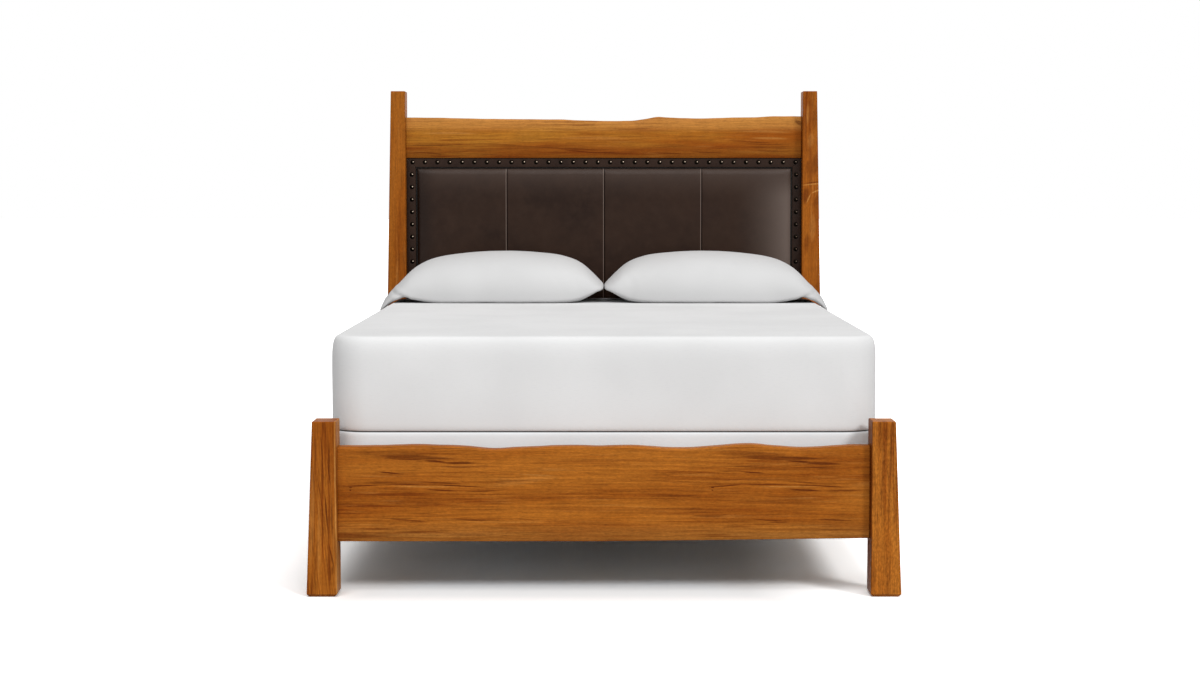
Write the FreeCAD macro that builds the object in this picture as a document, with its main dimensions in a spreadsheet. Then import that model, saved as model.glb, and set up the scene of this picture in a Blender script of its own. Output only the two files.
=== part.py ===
import FreeCAD, Part
import math
import os
import Sketcher
from FreeCAD import Placement, Rotation, Vector

# Live edge bed: two tapered head posts and two tapered foot posts, a live edge crest rail and
# footboard slab, an upholstered headboard panel with a nailed border, side rails on hook plates,
# slats on cleats, a centre beam on two legs, a foundation, a mattress and two pillows.
# Millimetres. The origin is on the floor under the middle of the bed, +X to the right of someone
# who stands at the footboard, +Y towards the headboard, +Z up.

SIZES = {
    # Bedding, a queen set
    "mattress_width": 1524,
    "mattress_length": 2032,
    "mattress_thickness": 264,
    "mattress_corner": 108,
    "mattress_draw": 26,
    "mattress_roll": 72,
    "mattress_cover": 12,
    "foundation_height": 229,
    "foundation_draw": 12,
    "foundation_roll": 30,
    "foundation_cover": 6,
    "foundation_board": 19,
    "foundation_cross_slats": 7,
    "cross_slat_width": 64,
    "rest_gap": 0.3,
    "end_gap": 5,
    "side_gap": 5,
    # Pillows
    "pillow_width": 792,
    "pillow_height": 180,
    "pillow_depth": 410,
    "pillow_to_head": 4,
    # Posts
    "inner_width": 1458,
    "post_depth": 92,
    "post_base_width": 84,
    "foot_post_top_width": 65,
    "foot_post_height": 482,
    "head_post_top_width": 52,
    "head_post_height": 1464,
    "post_round": 3,
    "post_base_bevel": 8,
    # Live edge slabs and the rails between the posts
    "slab_thickness": 44,
    "foot_setback": 28,
    "foot_panel_bottom": 149,
    "foot_panel_rise": 9,
    "foot_panel_edge": 409,
    "foot_panel_wave": 7.2,
    "foot_bark_height": 8,
    "foot_bark_depth": 6,
    "head_setback": 36,
    "crest_bottom": 1220,
    "crest_edge": 1365,
    "crest_wave": 8.6,
    "crest_bark_height": 26,
    "crest_bark_depth": 9,
    "panel_rail_bottom": 560,
    "panel_rail_top": 640,
    "stretcher_height": 105,
    "tenon_length": 34,
    "tenon_thickness": 24,
    "tenon_shoulder": 20,
    "tenon_play": 0.2,
    "tenon_end_room": 2,
    # Upholstered panel
    "stop_depth": 12,
    "stop_width": 20,
    "board_thickness": 12,
    "board_play": 1,
    "border_core": 12,
    "border_width": 34,
    "border_round": 1.6,
    "leather_thickness": 2,
    "pad_gap": 5,
    "pad_depth": 26,
    "pad_edge_depth": 11,
    "pad_roll": 90,
    "seam_spacing": 359,
    "seam_depth": 4,
    "seam_draw": 26,
    # Nails of the border
    "nail_radius": 8,
    "nail_rise": 4.6,
    "nail_shank_radius": 1,
    "nail_shank_length": 12,
    "nail_play": 0.1,
    "nail_row_inset": 15,
    "nail_side_inset": 20,
    "nail_corner_inset": 23,
    "nails_in_row": 32,
    "nails_in_side": 11,
    # Side rails, cleats, slats and the centre beam
    "rail_setback": 38,
    "rail_bottom": 155,
    "rail_height": 205,
    "rail_thickness": 30,
    "rail_round": 2,
    "cleat_width": 38,
    "cleat_height": 28,
    "slat_top": 213,
    "slat_thickness": 19,
    "slat_width": 89,
    "slat_count": 5,
    "slat_end_margin": 150,
    "slat_play": 1,
    "slat_round": 1.5,
    "beam_width": 89,
    "beam_thickness": 38,
    "hanger_sheet": 3,
    "hanger_reach": 40,
    "hanger_screw_spread": 56,
    # Centre legs and their levelling feet
    "leg_width": 44,
    "leg_bevel": 4,
    "leg_dowel_radius": 12.5,
    "leg_dowel_length": 20,
    "leg_first": 20,
    "leg_spacing": 600,
    "leg_clearance": 26,
    "foot_radius": 22,
    "foot_height": 10,
    "foot_bevel": 2,
    "stud_radius": 4,
    "stud_play": 0.3,
    "stud_length": 52,
    "stud_bore_depth": 52,
    # Hook plates between rails and posts
    "plate_width": 20,
    "plate_height": 150,
    "plate_thickness": 2.5,
    "plate_play": 0.1,
    "hook_spacing": 70,
    "hook_height": 30,
    "hook_sheet": 3,
    "hook_tongue": 4,
    "hook_drop": 9,
    "hook_play": 0.2,
    "hook_room": 3,
    "plate_screw_inset": 9,
    # Wood screws
    "screw_head_radius": 4,
    "screw_shank_radius": 2,
    "screw_head_height": 2,
    "screw_tip": 4,
    "screw_play": 0.1,
    "plate_screw_length": 28,
    "slat_screw_length": 38,
    "cleat_screw_length": 60,
    "cleat_screw_count": 6,
    "screw_margin": 18,
    # How far a cutting tool runs past the face it opens
    "overrun": 1,
}

# Live edges, from the left end to the right: the place along the half width between the posts, and
# the height above the mean edge as a share of the wave.
CREST_EDGE_SHARES = (
    (-1.00, 0.45), (-0.82, 0.35), (-0.66, 0.00), (-0.49, -0.23), (-0.33, -0.28), (-0.21, -0.41),
    (-0.13, -0.70), (-0.05, -0.87), (0.03, -1.00), (0.10, -0.94), (0.152, -0.81), (0.193, -0.35),
    (0.233, 0.23), (0.273, 0.74), (0.314, 0.58), (0.395, 0.23), (0.516, 0.12), (0.636, 0.41),
    (0.758, 0.58), (0.84, 0.93), (0.92, 1.00), (1.00, 0.95),
)
FOOT_EDGE_SHARES = (
    (-1.00, 0.06), (-0.853, 0.21), (-0.764, 0.47), (-0.704, 0.63), (-0.613, 0.36), (-0.524, 0.06),
    (-0.464, -0.51), (-0.427, -0.86), (-0.344, -0.56), (-0.254, -0.17), (-0.165, 0.25),
    (-0.104, 0.28), (-0.014, 0.06), (0.045, 0.21), (0.106, 0.32), (0.166, -0.06), (0.225, -0.47),
    (0.285, -0.60), (0.346, -0.44), (0.405, 0.00), (0.465, 0.51), (0.525, 0.90), (0.556, 0.93),
    (0.586, 0.78), (0.615, 0.40), (0.675, -0.14), (0.735, -0.44), (0.796, -0.36), (0.885, 0.25),
    (0.945, 0.51), (1.00, 0.51),
)

# Edge of a mattress or foundation, from the outermost line to the flat face: how far along the
# roll's height, and how far drawn in as a share of the draw.
EDGE_ROLL_SHARES = (
    (0.0, 0.0), (0.2, 0.012), (0.38, 0.04), (0.52, 0.075), (0.65, 0.12), (0.75, 0.17),
    (0.83, 0.24), (0.895, 0.33), (0.945, 0.46), (0.98, 0.66), (1.0, 1.0),
)

# Crown of a channel of the leather pad along its outer roll: the distance in from the edge.
PAD_ROLL_SHARES = (0.0, 0.05, 0.13, 0.24, 0.38, 0.55, 0.75, 1.0)

# Along a pillow's depth: its crown, and where its underside meets and leaves the mattress
PILLOW_CROWN_SHARE = 0.54
PILLOW_FRONT_REST_SHARE = 0.10
PILLOW_BACK_REST_SHARE = 0.78

# A pillow from its inner end to its outer tip. Each row is a section: the place along the width,
# the front and back seams along the depth, and the heights of the front seam, back seam, underside
# and top as shares of the pillow's height over the mattress.
PILLOW_SHARES = (
    (0.004, 0.14, 0.74, 0.31, 0.35, 0.285, 0.38),
    (0.02, 0.09, 0.84, 0.27, 0.40, 0.22, 0.47),
    (0.045, 0.06, 0.90, 0.22, 0.44, 0.13, 0.585),
    (0.08, 0.04, 0.94, 0.17, 0.48, 0.03, 0.71),
    (0.122, 0.025, 0.96, 0.14, 0.50, 0.00, 0.815),
    (0.19, 0.01, 0.98, 0.12, 0.52, 0.00, 0.90),
    (0.30, 0.00, 1.00, 0.10, 0.53, 0.00, 0.965),
    (0.44, 0.00, 1.00, 0.10, 0.54, 0.00, 1.00),
    (0.55, 0.00, 1.00, 0.10, 0.53, 0.00, 0.985),
    (0.66, 0.00, 0.99, 0.11, 0.51, 0.00, 0.94),
    (0.75, 0.01, 0.97, 0.13, 0.48, 0.00, 0.875),
    (0.82, 0.02, 0.95, 0.16, 0.43, 0.02, 0.77),
    (0.87, 0.03, 0.92, 0.18, 0.37, 0.06, 0.625),
    (0.91, 0.04, 0.87, 0.18, 0.29, 0.08, 0.41),
    (0.955, 0.05, 0.72, 0.10, 0.14, 0.04, 0.205),
    (0.985, 0.06, 0.50, -0.09, -0.08, -0.11, 0.02),
    (1.0, 0.08, 0.38, -0.17, -0.17, -0.19, -0.14),
)

doc = FreeCAD.newDocument("live_edge_bed")
sheet = doc.addObject("Spreadsheet::Sheet", "Sizes")
for row, (name, value) in enumerate(SIZES.items(), start=1):
    sheet.set(f"A{row}", name)
    sheet.set(f"B{row}", str(value))
    sheet.setAlias(f"B{row}", name)
doc.recompute()

# Places that several pieces share, as formulas of the sheet's sizes
HALF_INNER = "Sizes.inner_width / 2"
POST_FACE = "(Sizes.mattress_length / 2 + Sizes.end_gap)"
BED_END = f"({POST_FACE} + Sizes.post_depth)"
FOOT_FRONT = f"(Sizes.foot_setback - {BED_END})"
FOOT_BACK = f"({FOOT_FRONT} + Sizes.slab_thickness)"
HEAD_FRONT = f"({POST_FACE} + Sizes.head_setback)"
HEAD_BACK = f"({HEAD_FRONT} + Sizes.slab_thickness)"
BOARD_FRONT = f"({HEAD_BACK} - Sizes.stop_depth - Sizes.board_thickness)"
CORE_FRONT = f"({BOARD_FRONT} - Sizes.border_core)"
BORDER_FRONT = f"({CORE_FRONT} - Sizes.leather_thickness)"
CORE_WIDTH = "(Sizes.border_width - Sizes.leather_thickness)"
RAIL_INNER = f"({HALF_INNER} + Sizes.rail_setback)"
RAIL_MIDDLE = f"({RAIL_INNER} + Sizes.rail_thickness / 2)"
RAIL_CENTRE_HEIGHT = "(Sizes.rail_bottom + Sizes.rail_height / 2)"
SLAT_BOTTOM = "(Sizes.slat_top - Sizes.slat_thickness)"
BEAM_BOTTOM = f"({SLAT_BOTTOM} - Sizes.beam_thickness)"
FOUNDATION_BOTTOM = "(Sizes.slat_top + Sizes.rest_gap)"
MATTRESS_BOTTOM = f"({FOUNDATION_BOTTOM} + Sizes.foundation_height + Sizes.rest_gap)"
MATTRESS_TOP = f"({MATTRESS_BOTTOM} + Sizes.mattress_thickness)"
MATTRESS_SIDE = "(Sizes.mattress_width / 2)"
FOUNDATION_SIDE = f"({RAIL_INNER} - Sizes.side_gap)"
PAD_HALF = f"({HALF_INNER} - Sizes.border_width - Sizes.pad_gap)"
PAD_BOTTOM = "(Sizes.panel_rail_top + Sizes.border_width + Sizes.pad_gap)"
PAD_TOP = "(Sizes.crest_bottom - Sizes.border_width - Sizes.pad_gap)"

X_AXIS = Vector(1, 0, 0)
Y_AXIS = Vector(0, 1, 0)
Z_AXIS = Vector(0, 0, 1)
FULL_TURN = 360
SAME_PLACE = 1e-4

subparts = []


def mm(formula):
    """A formula of the sheet's sizes, as a number."""
    return float(sheet.evalExpression(formula))


def bind(item, **formulas):
    for prop, formula in formulas.items():
        item.setExpression(prop, formula)


def keep(item, label):
    """Name a finished sub-part and put it on the list of pieces to export."""
    item.Label = label
    subparts.append(item)
    return item


def shaped(label, shape):
    item = doc.addObject("Part::Feature", label)
    item.Shape = shape
    item.Placement = Placement()
    return item


def new_body(name):
    return doc.addObject("PartDesign::Body", name)


def origin_plane(body, role):
    return next(plane for plane in body.Origin.OriginFeatures if plane.Role == role)


def block(body, kind, name, x_span, y_span, z_span):
    """An additive or subtractive box between formulas along each axis."""
    feature = body.newObject("PartDesign::" + kind, name)
    feature.AttachmentSupport = [(origin_plane(body, "XY_Plane"), "")]
    feature.MapMode = "FlatFace"
    spans = zip("xyz", ("Length", "Width", "Height"), (x_span, y_span, z_span))
    for axis, side, (low, high) in spans:
        feature.setExpression("AttachmentOffset.Base." + axis, low)
        feature.setExpression(side, f"({high}) - ({low})")
    return feature


def outline(body, name, points, y_place):
    """A closed outline in the XZ direction, its corners bound to formulas, at y_place."""
    sketch = body.newObject("Sketcher::SketchObject", name)
    sketch.AttachmentSupport = [(origin_plane(body, "XZ_Plane"), "")]
    sketch.MapMode = "FlatFace"
    sketch.setExpression("AttachmentOffset.Base.z", f"-({y_place})")
    corners = [Vector(mm(x), mm(z), 0) for x, z in points]
    count = len(corners)
    for i, corner in enumerate(corners):
        sketch.addGeometry(Part.LineSegment(corner, corners[(i + 1) % count]), False)
    for i in range(count):
        sketch.addConstraint(Sketcher.Constraint("Coincident", i, 2, (i + 1) % count, 1))
    for i, (formulas, corner) in enumerate(zip(points, corners)):
        for kind, axis, formula, place in zip(("DistanceX", "DistanceY"), (-2, -1), formulas, corner):
            if formula == "0":
                sketch.addConstraint(Sketcher.Constraint("PointOnObject", i, 1, axis))
                continue
            index = sketch.addConstraint(Sketcher.Constraint(kind, -1, 1, i, 1, place))
            sketch.setExpression(f"Constraints[{index}]", formula)
    return sketch


def extrude(body, kind, name, sketch, length):
    """A pad towards +Y, or a pocket that cuts towards -Y, of an XZ outline."""
    feature = body.newObject("PartDesign::" + kind, name)
    feature.Profile = sketch
    feature.Reversed = True
    feature.setExpression("Length", length)
    doc.recompute()
    return feature


def edges_where(feature, test):
    return [f"Edge{i}" for i, edge in enumerate(feature.Shape.Edges, start=1) if test(edge)]


def soften(body, kind, name, base, edges, size):
    """A fillet or chamfer on named edges of the body's last feature."""
    feature = body.newObject("PartDesign::" + kind, name)
    feature.Base = (base, edges)
    feature.setExpression("Radius" if kind == "Fillet" else "Size", size)
    doc.recompute()
    return feature


def near(value, target):
    return abs(value - target) < SAME_PLACE


def roll_middle(run, rise):
    """The middle of an arc that leaves a flat face level and has fallen by rise after a run: how
    far along the run it lies, and how far it has fallen."""
    radius = (run ** 2 + rise ** 2) / (2 * rise)
    half_turn = math.atan(rise / run)
    return radius * math.sin(half_turn), radius * (1 - math.cos(half_turn))


def is_upright(edge):
    return edge.BoundBox.ZLength > max(edge.BoundBox.XLength, edge.BoundBox.YLength)


def is_level_at(edge, height):
    return near(edge.BoundBox.ZMin, height) and near(edge.BoundBox.ZMax, height)


def cut(base, tools, label):
    """A base with the tools taken out of it."""
    result = doc.addObject("Part::Cut", label + "_cut")
    result.Base = base
    result.Tool = tools
    return result


def mirrored(source, label, normal=X_AXIS):
    result = doc.addObject("Part::Mirroring", label)
    result.Source = source
    result.Normal = normal
    return keep(result, label)


def copies(unit, placements):
    """Separate copies of one shape at many places."""
    group = []
    for placement in placements:
        copy = unit.copy()
        copy.Placement = placement
        group.append(copy)
    return Part.makeCompound(group)


# Screws and their holes

def screw_shape(length, play):
    """A countersunk wood screw, its head's face at the origin and its tip along -Z."""
    head = mm("Sizes.screw_head_radius") + play
    shank = mm("Sizes.screw_shank_radius") + play
    neck = mm("Sizes.screw_head_height")
    tip = mm("Sizes.screw_tip")
    over = play and mm("Sizes.overrun")
    points = [
        Vector(0, 0, over), Vector(head, 0, over), Vector(head, 0, 0), Vector(shank, 0, -neck),
        Vector(shank, 0, tip - length), Vector(0, 0, -length - play), Vector(0, 0, over),
    ]
    points = [point for i, point in enumerate(points) if i == 0 or point != points[i - 1]]
    return Part.Face(Part.makePolygon(points)).revolve(Vector(), Z_AXIS, FULL_TURN)


def screws(length_name, placements, label):
    """A group of screws, and the group of holes that they need."""
    length = mm("Sizes." + length_name)
    group = shaped(label, copies(screw_shape(length, 0), placements))
    holes = shaped(label + "_holes", copies(screw_shape(length, mm("Sizes.screw_play")), placements))
    return group, holes


def pointing(direction):
    """The turn that points a screw's tip along a direction."""
    return Rotation(Vector(0, 0, -1), direction)


# Posts

def post(name, height, top_width, mortises):
    """A right-hand post. Its inner face is upright, its outer face leans in, and it stands at X 0
    with its front face at Y 0. A mortise is a name, a Y span and a Z span on the inner face."""
    body = new_body(name)
    width = "Sizes.post_base_width"
    corners = [("0", "0"), (width, "0"), (top_width, height), ("0", height)]
    sketch = outline(body, name + "_outline", corners, "0")
    pad = extrude(body, "Pad", name + "_pad", sketch, "Sizes.post_depth")
    top = mm(height)
    base = edges_where(pad, lambda edge: is_level_at(edge, 0))
    bevelled = soften(body, "Chamfer", name + "_base_bevel", pad, base, "Sizes.post_base_bevel")
    softened = edges_where(bevelled, lambda edge: is_upright(edge) and edge.Length > top / 2
                           or is_level_at(edge, top))
    soften(body, "Fillet", name + "_soft_edges", bevelled, softened, "Sizes.post_round")
    depth = "(Sizes.tenon_length + Sizes.tenon_end_room)"
    for mortise, y_span, z_span in mortises:
        block(body, "SubtractiveBox", mortise, ("-Sizes.overrun", depth), y_span, z_span)
    return body


def mortise_spans(setback, bottom, top):
    """Where a mortise lies in a post for a tenon between two heights."""
    play = "Sizes.tenon_play"
    start = f"{setback} + (Sizes.slab_thickness - Sizes.tenon_thickness) / 2"
    y_span = (f"{start} - {play}", f"{start} + Sizes.tenon_thickness + {play}")
    return y_span, (f"{bottom} - {play}", f"{top} + {play}")


def plate_recess(body, face, inward):
    """The recess for a post plate in the face at Y face, and the room for its hooks behind it."""
    middle = f"({RAIL_MIDDLE} - {HALF_INNER})"
    centre = RAIL_CENTRE_HEIGHT
    play = "Sizes.plate_play"
    half = f"(Sizes.plate_width / 2 + {play})"
    tall = f"(Sizes.plate_height / 2 + {play})"
    room = f"(Sizes.hook_sheet / 2 + Sizes.hook_play + Sizes.hook_room / 2)"
    reach = "(Sizes.plate_thickness + Sizes.hook_tongue + Sizes.hook_room)"

    def y_span(depth):
        low, high = f"{face} - {depth}", f"{face} + Sizes.overrun"
        if inward > 0:
            low, high = f"{face} - Sizes.overrun", f"{face} + {depth}"
        return low, high

    block(body, "SubtractiveBox", "plate_recess", (f"{middle} - {half}", f"{middle} + {half}"),
          y_span("Sizes.plate_thickness"), (f"{centre} - {tall}", f"{centre} + {tall}"))
    for side, sign in (("lower", "-"), ("upper", "+")):
        hook = f"({centre} {sign} Sizes.hook_spacing / 2)"
        low = f"{hook} - Sizes.hook_height / 2 - Sizes.hook_drop - Sizes.hook_room"
        high = f"{hook} + Sizes.hook_height / 2 + Sizes.hook_room"
        block(body, "SubtractiveBox", side + "_hook_room", (f"{middle} - {room}", f"{middle} + {room}"),
              y_span(reach), (low, high))


def stand_post(body, front):
    bind(body, **{"Placement.Base.x": HALF_INNER, "Placement.Base.y": front})
    doc.recompute()


# Live edge slabs

def slab_section(x, bottom, edge, front, bark_height, bark_depth):
    """A slab's section at x: square below, and rolled over towards the live edge on both faces."""
    back = front + mm("Sizes.slab_thickness")
    shoulder = edge - bark_height
    bulge_up, bulge_in = roll_middle(bark_height, bark_depth)
    low_front = Vector(x, front, bottom)
    high_front = Vector(x, front, shoulder)
    top_front = Vector(x, front + bark_depth, edge)
    top_back = Vector(x, back - bark_depth, edge)
    high_back = Vector(x, back, shoulder)
    low_back = Vector(x, back, bottom)
    front_bulge = Vector(x, front + bulge_in, shoulder + bulge_up)
    back_bulge = Vector(x, back - bulge_in, shoulder + bulge_up)
    return Part.Wire([
        Part.makeLine(low_front, high_front),
        Part.Arc(high_front, front_bulge, top_front).toShape(),
        Part.makeLine(top_front, top_back),
        Part.Arc(top_back, back_bulge, high_back).toShape(),
        Part.makeLine(high_back, low_back),
        Part.makeLine(low_back, low_front),
    ])


def live_edge_slab(edge_shares, mean, wave, bottom, rise, front, bark_height, bark_depth):
    """A slab between the posts. Its underside rises over the right half by the given rise."""
    half = mm(HALF_INNER)
    sections = []
    for along, height in edge_shares:
        underside = bottom + rise * max(0, along)
        edge = mean + wave * height
        sections.append(slab_section(half * along, underside, edge, front, bark_height, bark_depth))
    return Part.makeLoft(sections, True, True)


def tenoned(slab, label, setback_front, tenon_bottom, tenon_top):
    """A slab or rail with a stub tenon at each end."""
    tenons = []
    for side in ("left", "right"):
        tenon = doc.addObject("Part::Box", f"{label}_{side}_tenon")
        start = f"({HALF_INNER} - Sizes.overrun)"
        if side == "left":
            start = f"(-{HALF_INNER} - Sizes.tenon_length)"
        bind(tenon, Length="Sizes.tenon_length + Sizes.overrun", Width="Sizes.tenon_thickness",
             Height=f"{tenon_top} - {tenon_bottom}")
        cheek = f"{setback_front} + (Sizes.slab_thickness - Sizes.tenon_thickness) / 2"
        bind(tenon, **{"Placement.Base.x": start, "Placement.Base.y": cheek,
                       "Placement.Base.z": tenon_bottom})
        tenons.append(tenon)
    joined = doc.addObject("Part::MultiFuse", label + "_with_tenons")
    joined.Shapes = [slab] + tenons
    doc.recompute()
    return joined


def rail_box(label, bottom, top):
    """A plain board between the posts of the headboard."""
    board = doc.addObject("Part::Box", label + "_board")
    bind(board, Length="Sizes.inner_width", Width="Sizes.slab_thickness", Height=f"{top} - {bottom}")
    bind(board, **{"Placement.Base.x": f"-{HALF_INNER}", "Placement.Base.y": HEAD_FRONT,
                   "Placement.Base.z": bottom})
    return board


FOOT_TENON = ("(Sizes.foot_panel_bottom + Sizes.foot_panel_rise + Sizes.tenon_shoulder)",
              "(Sizes.foot_panel_edge - Sizes.foot_panel_wave - Sizes.tenon_shoulder)")
CREST_TENON = ("(Sizes.crest_bottom + Sizes.tenon_shoulder)",
               "(Sizes.crest_edge - Sizes.crest_wave - Sizes.crest_bark_height - Sizes.tenon_shoulder)")
PANEL_RAIL_TENON = ("(Sizes.panel_rail_bottom + Sizes.tenon_shoulder / 2)",
                    "(Sizes.panel_rail_top - Sizes.tenon_shoulder / 2)")
STRETCHER_TOP = "(Sizes.rail_bottom + Sizes.stretcher_height)"
STRETCHER_TENON = ("(Sizes.rail_bottom + Sizes.tenon_shoulder)",
                   f"({STRETCHER_TOP} - Sizes.tenon_shoulder)")


def make_boards():
    """The live edge slabs and the headboard's two plain rails."""
    foot_slab = shaped("foot_slab", live_edge_slab(
        FOOT_EDGE_SHARES, mm("Sizes.foot_panel_edge"), mm("Sizes.foot_panel_wave"),
        mm("Sizes.foot_panel_bottom"), mm("Sizes.foot_panel_rise"), mm(FOOT_FRONT),
        mm("Sizes.foot_bark_height"), mm("Sizes.foot_bark_depth")))
    crest_slab = shaped("crest_slab", live_edge_slab(
        CREST_EDGE_SHARES, mm("Sizes.crest_edge"), mm("Sizes.crest_wave"),
        mm("Sizes.crest_bottom"), 0, mm(HEAD_FRONT),
        mm("Sizes.crest_bark_height"), mm("Sizes.crest_bark_depth")))
    panel = tenoned(foot_slab, "footboard_panel", FOOT_FRONT, *FOOT_TENON)
    crest = tenoned(crest_slab, "crest_rail", HEAD_FRONT, *CREST_TENON)
    panel_rail = tenoned(rail_box("panel_rail", "Sizes.panel_rail_bottom", "Sizes.panel_rail_top"),
                         "panel_rail", HEAD_FRONT, *PANEL_RAIL_TENON)
    stretcher = tenoned(rail_box("head_stretcher", "Sizes.rail_bottom", STRETCHER_TOP),
                        "head_stretcher", HEAD_FRONT, *STRETCHER_TENON)
    return panel, crest, panel_rail, stretcher


# Hook plates

def plate_screw_places(face, into_post):
    """Screws of a plate at the plane Y face: into_post gives the direction of their tips."""
    reach = mm("Sizes.plate_height / 2 - Sizes.plate_screw_inset")
    centre = mm(RAIL_CENTRE_HEIGHT)
    turn = pointing(Vector(0, into_post, 0))
    return [Placement(Vector(mm(RAIL_MIDDLE), face, centre + sign * reach), turn) for sign in (-1, 1)]


def post_plate(name, face, into_post):
    """A slotted plate let into a post, with its outer face at the plane Y face."""
    body = new_body(name)
    half = "Sizes.plate_width / 2"
    centre = RAIL_CENTRE_HEIGHT
    y_span = (face, f"{face} + Sizes.plate_thickness")
    through = (f"{face} - Sizes.overrun", f"{face} + Sizes.plate_thickness + Sizes.overrun")
    if into_post < 0:
        y_span = (f"{face} - Sizes.plate_thickness", face)
        through = (f"{face} - Sizes.plate_thickness - Sizes.overrun", f"{face} + Sizes.overrun")
    block(body, "AdditiveBox", name + "_sheet", (f"{RAIL_MIDDLE} - {half}", f"{RAIL_MIDDLE} + {half}"),
          y_span, (f"{centre} - Sizes.plate_height / 2", f"{centre} + Sizes.plate_height / 2"))
    slot = "(Sizes.hook_sheet / 2 + Sizes.hook_play)"
    for side, sign in (("lower", "-"), ("upper", "+")):
        hook = f"({centre} {sign} Sizes.hook_spacing / 2)"
        block(body, "SubtractiveBox", f"{name}_{side}_slot",
              (f"{RAIL_MIDDLE} - {slot}", f"{RAIL_MIDDLE} + {slot}"), through,
              (f"{hook} - Sizes.hook_height / 2 - Sizes.hook_play",
               f"{hook} + Sizes.hook_height / 2 + Sizes.hook_play"))
    return body


def hook_plate(name, face, into_post):
    """A plate let into a rail's end, with two hooks that drop behind the post plate."""
    body = new_body(name)
    half = "Sizes.plate_width / 2"
    centre = RAIL_CENTRE_HEIGHT
    sign_in = "+" if into_post > 0 else "-"
    sign_out = "-" if into_post > 0 else "+"

    def span(a, b):
        return (a, b) if into_post > 0 else (b, a)

    block(body, "AdditiveBox", name + "_sheet", (f"{RAIL_MIDDLE} - {half}", f"{RAIL_MIDDLE} + {half}"),
          span(f"{face} {sign_out} Sizes.plate_thickness", face),
          (f"{centre} - Sizes.plate_height / 2", f"{centre} + Sizes.plate_height / 2"))
    behind = f"{face} {sign_in} Sizes.plate_thickness {sign_in} Sizes.hook_play"
    end = f"{behind} {sign_in} Sizes.hook_tongue"
    x_span = (f"{RAIL_MIDDLE} - Sizes.hook_sheet / 2", f"{RAIL_MIDDLE} + Sizes.hook_sheet / 2")
    for side, sign in (("lower", "-"), ("upper", "+")):
        hook = f"({centre} {sign} Sizes.hook_spacing / 2)"
        top = f"{hook} + Sizes.hook_height / 2"
        block(body, "AdditiveBox", f"{name}_{side}_neck", x_span, span(face, end),
              (f"{hook} - Sizes.hook_height / 2", top))
        block(body, "AdditiveBox", f"{name}_{side}_tongue", x_span, span(behind, end),
              (f"{hook} - Sizes.hook_height / 2 - Sizes.hook_drop", top))
    return body


# Side rails, cleats, slats, beam

def rail_body():
    """The right-hand side rail, with a recess for a hook plate in each end."""
    body = new_body("side_rail")
    rail = block(body, "AdditiveBox", "rail_board", (RAIL_INNER, f"{RAIL_INNER} + Sizes.rail_thickness"),
                 (f"-{POST_FACE}", POST_FACE),
                 ("Sizes.rail_bottom", "Sizes.rail_bottom + Sizes.rail_height"))
    doc.recompute()
    long_edges = edges_where(rail, lambda edge: edge.BoundBox.YLength > mm(POST_FACE))
    soften(body, "Fillet", "rail_long_edges", rail, long_edges, "Sizes.rail_round")
    play = "Sizes.plate_play"
    x_span = (f"{RAIL_MIDDLE} - Sizes.plate_width / 2 - {play}",
              f"{RAIL_MIDDLE} + Sizes.plate_width / 2 + {play}")
    z_span = (f"{RAIL_CENTRE_HEIGHT} - Sizes.plate_height / 2 - {play}",
              f"{RAIL_CENTRE_HEIGHT} + Sizes.plate_height / 2 + {play}")
    deep = f"({POST_FACE} - Sizes.plate_thickness)"
    past = f"({POST_FACE} + Sizes.overrun)"
    block(body, "SubtractiveBox", "foot_plate_recess", x_span, (f"-{past}", f"-{deep}"), z_span)
    block(body, "SubtractiveBox", "head_plate_recess", x_span, (deep, past), z_span)
    return body


def plain_box(label, x_span, y_span, z_span):
    box = doc.addObject("Part::Box", label + "_box")
    for axis, side, (low, high) in zip("xyz", ("Length", "Width", "Height"), (x_span, y_span, z_span)):
        box.setExpression("Placement.Base." + axis, low)
        box.setExpression(side, f"({high}) - ({low})")
    return box


def slat_places():
    """The middle of each slat along the bed."""
    count = round(mm("Sizes.slat_count"))
    reach = mm("Sizes.mattress_length / 2 - Sizes.slat_end_margin")
    return [reach * (2 * i / (count - 1) - 1) for i in range(count)]


def slat_body(name, place):
    body = new_body(name)
    half = f"({RAIL_INNER} - Sizes.slat_play)"
    slat = block(body, "AdditiveBox", name + "_board", (f"-{half}", half),
                 ("-Sizes.slat_width / 2", "Sizes.slat_width / 2"), (SLAT_BOTTOM, "Sizes.slat_top"))
    doc.recompute()
    upper = edges_where(slat, lambda edge: is_level_at(edge, mm("Sizes.slat_top")))
    long_upper = [e for e in upper if slat.Shape.getElement(e).BoundBox.XLength > mm(HALF_INNER)]
    soften(body, "Fillet", name + "_upper_edges", slat, long_upper, "Sizes.slat_round")
    body.Placement = Placement(Vector(0, place, 0), Rotation())
    doc.recompute()
    return body


def hanger_body(name, wall, away):
    """A steel saddle on the wall at Y wall, open above, that holds an end of the centre beam."""
    body = new_body(name)
    sheet_wide = "Sizes.hanger_sheet"
    half = "Sizes.beam_width / 2"

    def span(near_wall, far):
        a, b = f"{wall} {away} ({near_wall})", f"{wall} {away} ({far})"
        return (a, b) if away == "+" else (b, a)

    block(body, "AdditiveBox", name + "_saddle", (f"-{half} - {sheet_wide}", f"{half} + {sheet_wide}"),
          span("0", "Sizes.hanger_reach"), (f"{BEAM_BOTTOM} - {sheet_wide}", SLAT_BOTTOM))
    block(body, "SubtractiveBox", name + "_seat", (f"-{half}", half),
          span(sheet_wide, "Sizes.hanger_reach + Sizes.overrun"),
          (BEAM_BOTTOM, f"{SLAT_BOTTOM} + Sizes.overrun"))
    return body


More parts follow.
